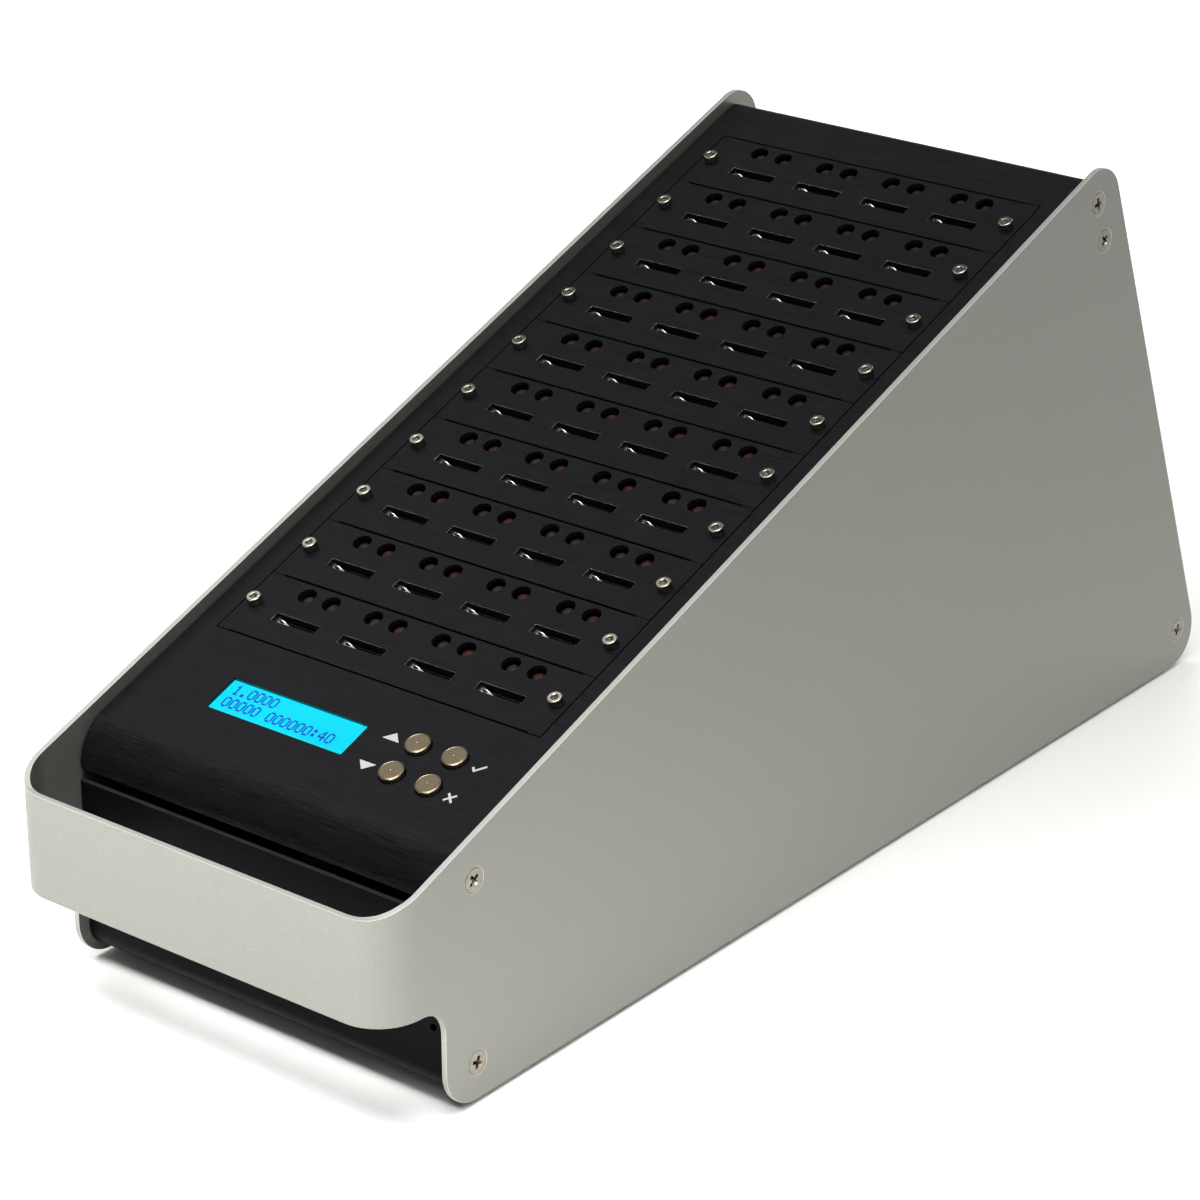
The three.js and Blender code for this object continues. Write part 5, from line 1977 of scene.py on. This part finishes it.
    def switch(self) -> None:
        """The switch's housing and its rocker, after the CAD pieces."""
        housing = refined("switch_housing")
        soften(housing, 0.4)
        hand_over(dress(housing, PLASTIC), Slot.PLASTIC, "switch_housing")
        rocker = refined("power_rocker")
        soften(rocker, 0.45, 3)
        hand_over(dress(rocker, PLASTIC), Slot.PLASTIC, "power_rocker", body=Body.ROCKER.value)

    def build(self) -> None:
        """Builds the rear panel and all that is on it."""
        self.panel()
        self.fan_frame()
        self.fan_rotor()
        self.inlet()
        self.switch()


@dataclass
class Feet:
    """Four turned rubber feet, hollow underneath, pushed into the tray."""

    radius: float = 8
    top_radius: float = 6.5
    height: float = 4.7
    stem_radius: float = 2.5
    stem_top: float = 9
    rim: float = 2.6
    hollow: float = 2
    x: float = 64.8
    depths: dict[str, float] = field(default_factory=lambda: {"front": 66, "rear": 462})

    def build(self) -> None:
        """Models one foot and copies it to the four corners."""
        model = round_bar("foot", self.radius, 0, self.height, top_radius=self.top_radius)
        with editing(model):
            pick_ends(-1)
            bpy.ops.mesh.inset(thickness=self.rim * MM)
            push(self.hollow)
            pick_ends(1)
            bpy.ops.mesh.inset(thickness=(self.top_radius - self.stem_radius) * MM)
            push(self.stem_top - self.height)
        soften(model, 0.6, 3)
        copy_out(dress(model, RUBBER), Slot.RUBBER, {
            f"foot_{end}_{name}": CASE.upright @ shift(side * self.x, depth)
            for end, depth in self.depths.items() for side, name in SIDES
        })


@dataclass
class HiddenParts:
    """CAD pieces that stay as they are inside the case and only get their finish."""

    finishes: dict[str, Finish] = field(default_factory=lambda: {
        "key_board": BOARD, "controller_board": BOARD, "power_supply": STEEL,
        "port_ribbon": CABLE, "supply_harness": CABLE, "mains_harness": CABLE,
    })

    def build(self) -> None:
        """Dresses each node."""
        for name, finish in self.finishes.items():
            dress(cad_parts[name], finish)
            log.info("%s: dressed as it is", name)


# Studio and camera


@dataclass
class Studio:
    """A pale floor, soft lights and the camera of the photograph."""

    floor_colour: str = "f4f4f2"
    camera_place: Triple = (0.8525, -1.0928, 0.6934)
    azimuth: float = 38.811
    elevation: float = 23.483
    roll: float = -0.256
    lens: float = 118.44
    sensor: float = 36

    def floor(self) -> None:
        """A wide, level, pale paper floor."""
        deselect()
        bpy.ops.mesh.primitive_plane_add(size=60)
        floor = bpy.context.active_object
        floor.name = "studio_floor"
        material = bpy.data.materials.new("paper_floor")
        material.use_nodes = True
        shader = material.node_tree.nodes["Principled BSDF"]
        shader.inputs["Base Color"].default_value = linear(self.floor_colour)
        shader.inputs["Roughness"].default_value = 0.9
        shader.inputs["Specular IOR Level"].default_value = 0.1
        floor.data.materials.append(material)

    def light(
        self, name: str, place: Sequence[float], aim: Sequence[float], size: float, power: float,
        spread: float = 180,
    ) -> None:
        """Adds one square soft light.

        Args:
            name: the light's name.
            place: where it hangs, in metres.
            aim: the point it faces.
            size: its side, in metres.
            power: in watts.
            spread: how wide it shines, in degrees.
        """
        data = bpy.data.lights.new(name, "AREA")
        data.size, data.energy, data.spread = size, power, math.radians(spread)
        lamp = bpy.data.objects.new(name, data)
        lamp.location = place
        lamp.rotation_euler = (Vector(place) - Vector(aim)).to_track_quat("Z", "Y").to_euler()
        bpy.context.scene.collection.objects.link(lamp)

    def lights(self) -> None:
        """A soft sun for the floor, and panels that light the unit or are mirrored in it.

        The sun comes from the right and front, so that its shadow falls behind the unit. The
        gridded boxes shine straight down on the floor that the handle and the sides mirror. The
        sky panel is what the sloped face and the keys mirror, the rim panel, behind on the left,
        adds light along rounded rims, and the rear panel is what the back mirrors.
        """
        sun = bpy.data.lights.new("soft_sun", "SUN")
        sun.energy, sun.angle = 1.75, math.radians(50)
        lamp = bpy.data.objects.new("soft_sun", sun)
        lamp.rotation_euler = Vector((0.42, -0.3, 0.86)).to_track_quat("Z", "Y").to_euler()
        bpy.context.scene.collection.objects.link(lamp)
        centre = (0, 0, 0.12)
        self.light("handle_box", (-0.55, -1.2, 1.6), (-0.55, -1.2, 0), 1.2, 24.5, 75)
        self.light("side_box", (0.33, -0.58, 1.3), (0.33, -0.58, 0), 0.6, 3.7, 75)
        self.light("back_box", (-1.0, 0.9, 2.2), (-1.0, 0.9, 0), 1.4, 12, 58)
        self.light("sky_panel", (-1.05, 0.02, 1.28), centre, 0.8, 1.9)
        self.light("rim_panel", (-1.15, 1.45, 0.95), centre, 0.9, 1.0)
        self.light("rear_panel", (0.2, 2.0, 1.1), centre, 1.4, 7.5)

    def world(self) -> None:
        """A dim sky over a pale horizon, so that the floor runs into it without a step."""
        world = bpy.data.worlds.new("studio")
        world.use_nodes = True
        tree = world.node_tree
        tree.nodes.clear()
        place = add_node(tree, "ShaderNodeTexCoord")
        parts = add_node(tree, "ShaderNodeSeparateXYZ", links={0: place.outputs["Generated"]})
        level = add_node(
            tree, "ShaderNodeMapRange", {"interpolation_type": "SMOOTHSTEP"},
            {"From Min": 0.05, "From Max": 0.5, "To Min": 0.54, "To Max": 0.1},
            {"Value": parts.outputs["Z"]})
        background = add_node(
            tree, "ShaderNodeBackground", values={"Color": (1, 1, 1, 1)},
            links={"Strength": level.outputs[0]})
        add_node(tree, "ShaderNodeOutputWorld", links={"Surface": background.outputs[0]})
        bpy.context.scene.world = world
        bpy.context.scene.view_settings.view_transform = "Standard"

    def camera(self) -> None:
        """Sets the camera where the photograph was taken from."""
        turn, lift, lean = (math.radians(v) for v in (self.azimuth, self.elevation, self.roll))
        right = Vector((math.cos(turn), math.sin(turn), 0))
        forward = Vector((-math.sin(turn) * math.cos(lift), math.cos(turn) * math.cos(lift),
                          -math.sin(lift)))
        down = forward.cross(right)
        across = math.cos(lean) * right - math.sin(lean) * down
        below = math.sin(lean) * right + math.cos(lean) * down
        data = bpy.data.cameras.new("photo_camera")
        data.lens, data.sensor_width = self.lens, self.sensor
        data.clip_start, data.clip_end = 0.05, 30
        camera = bpy.data.objects.new("photo_camera", data)
        axes = Matrix((across, -below, -forward)).transposed().to_4x4()
        camera.matrix_world = Matrix.Translation(self.camera_place) @ axes
        bpy.context.scene.collection.objects.link(camera)
        bpy.context.scene.camera = camera

    def build(self) -> None:
        """Sets up floor, lights, world and camera."""
        self.floor()
        self.lights()
        self.world()
        self.camera()


def main() -> None:
    """Builds every sub-assembly in order."""
    logging.basicConfig(level=logging.INFO, format="%(name)s: %(message)s")
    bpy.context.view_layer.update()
    for group in (
        OuterWrap(), TopPanel(), BottomTray(), SideScrews(), RAILS, PLATES,
        Keys(), Display(), PrintedMarks(), RearFittings(), Feet(), HiddenParts(), Studio(),
    ):
        log.info("building %s", type(group).__name__)
        group.build()
    bpy.context.view_layer.update()


if __name__ == "__main__":
    main()
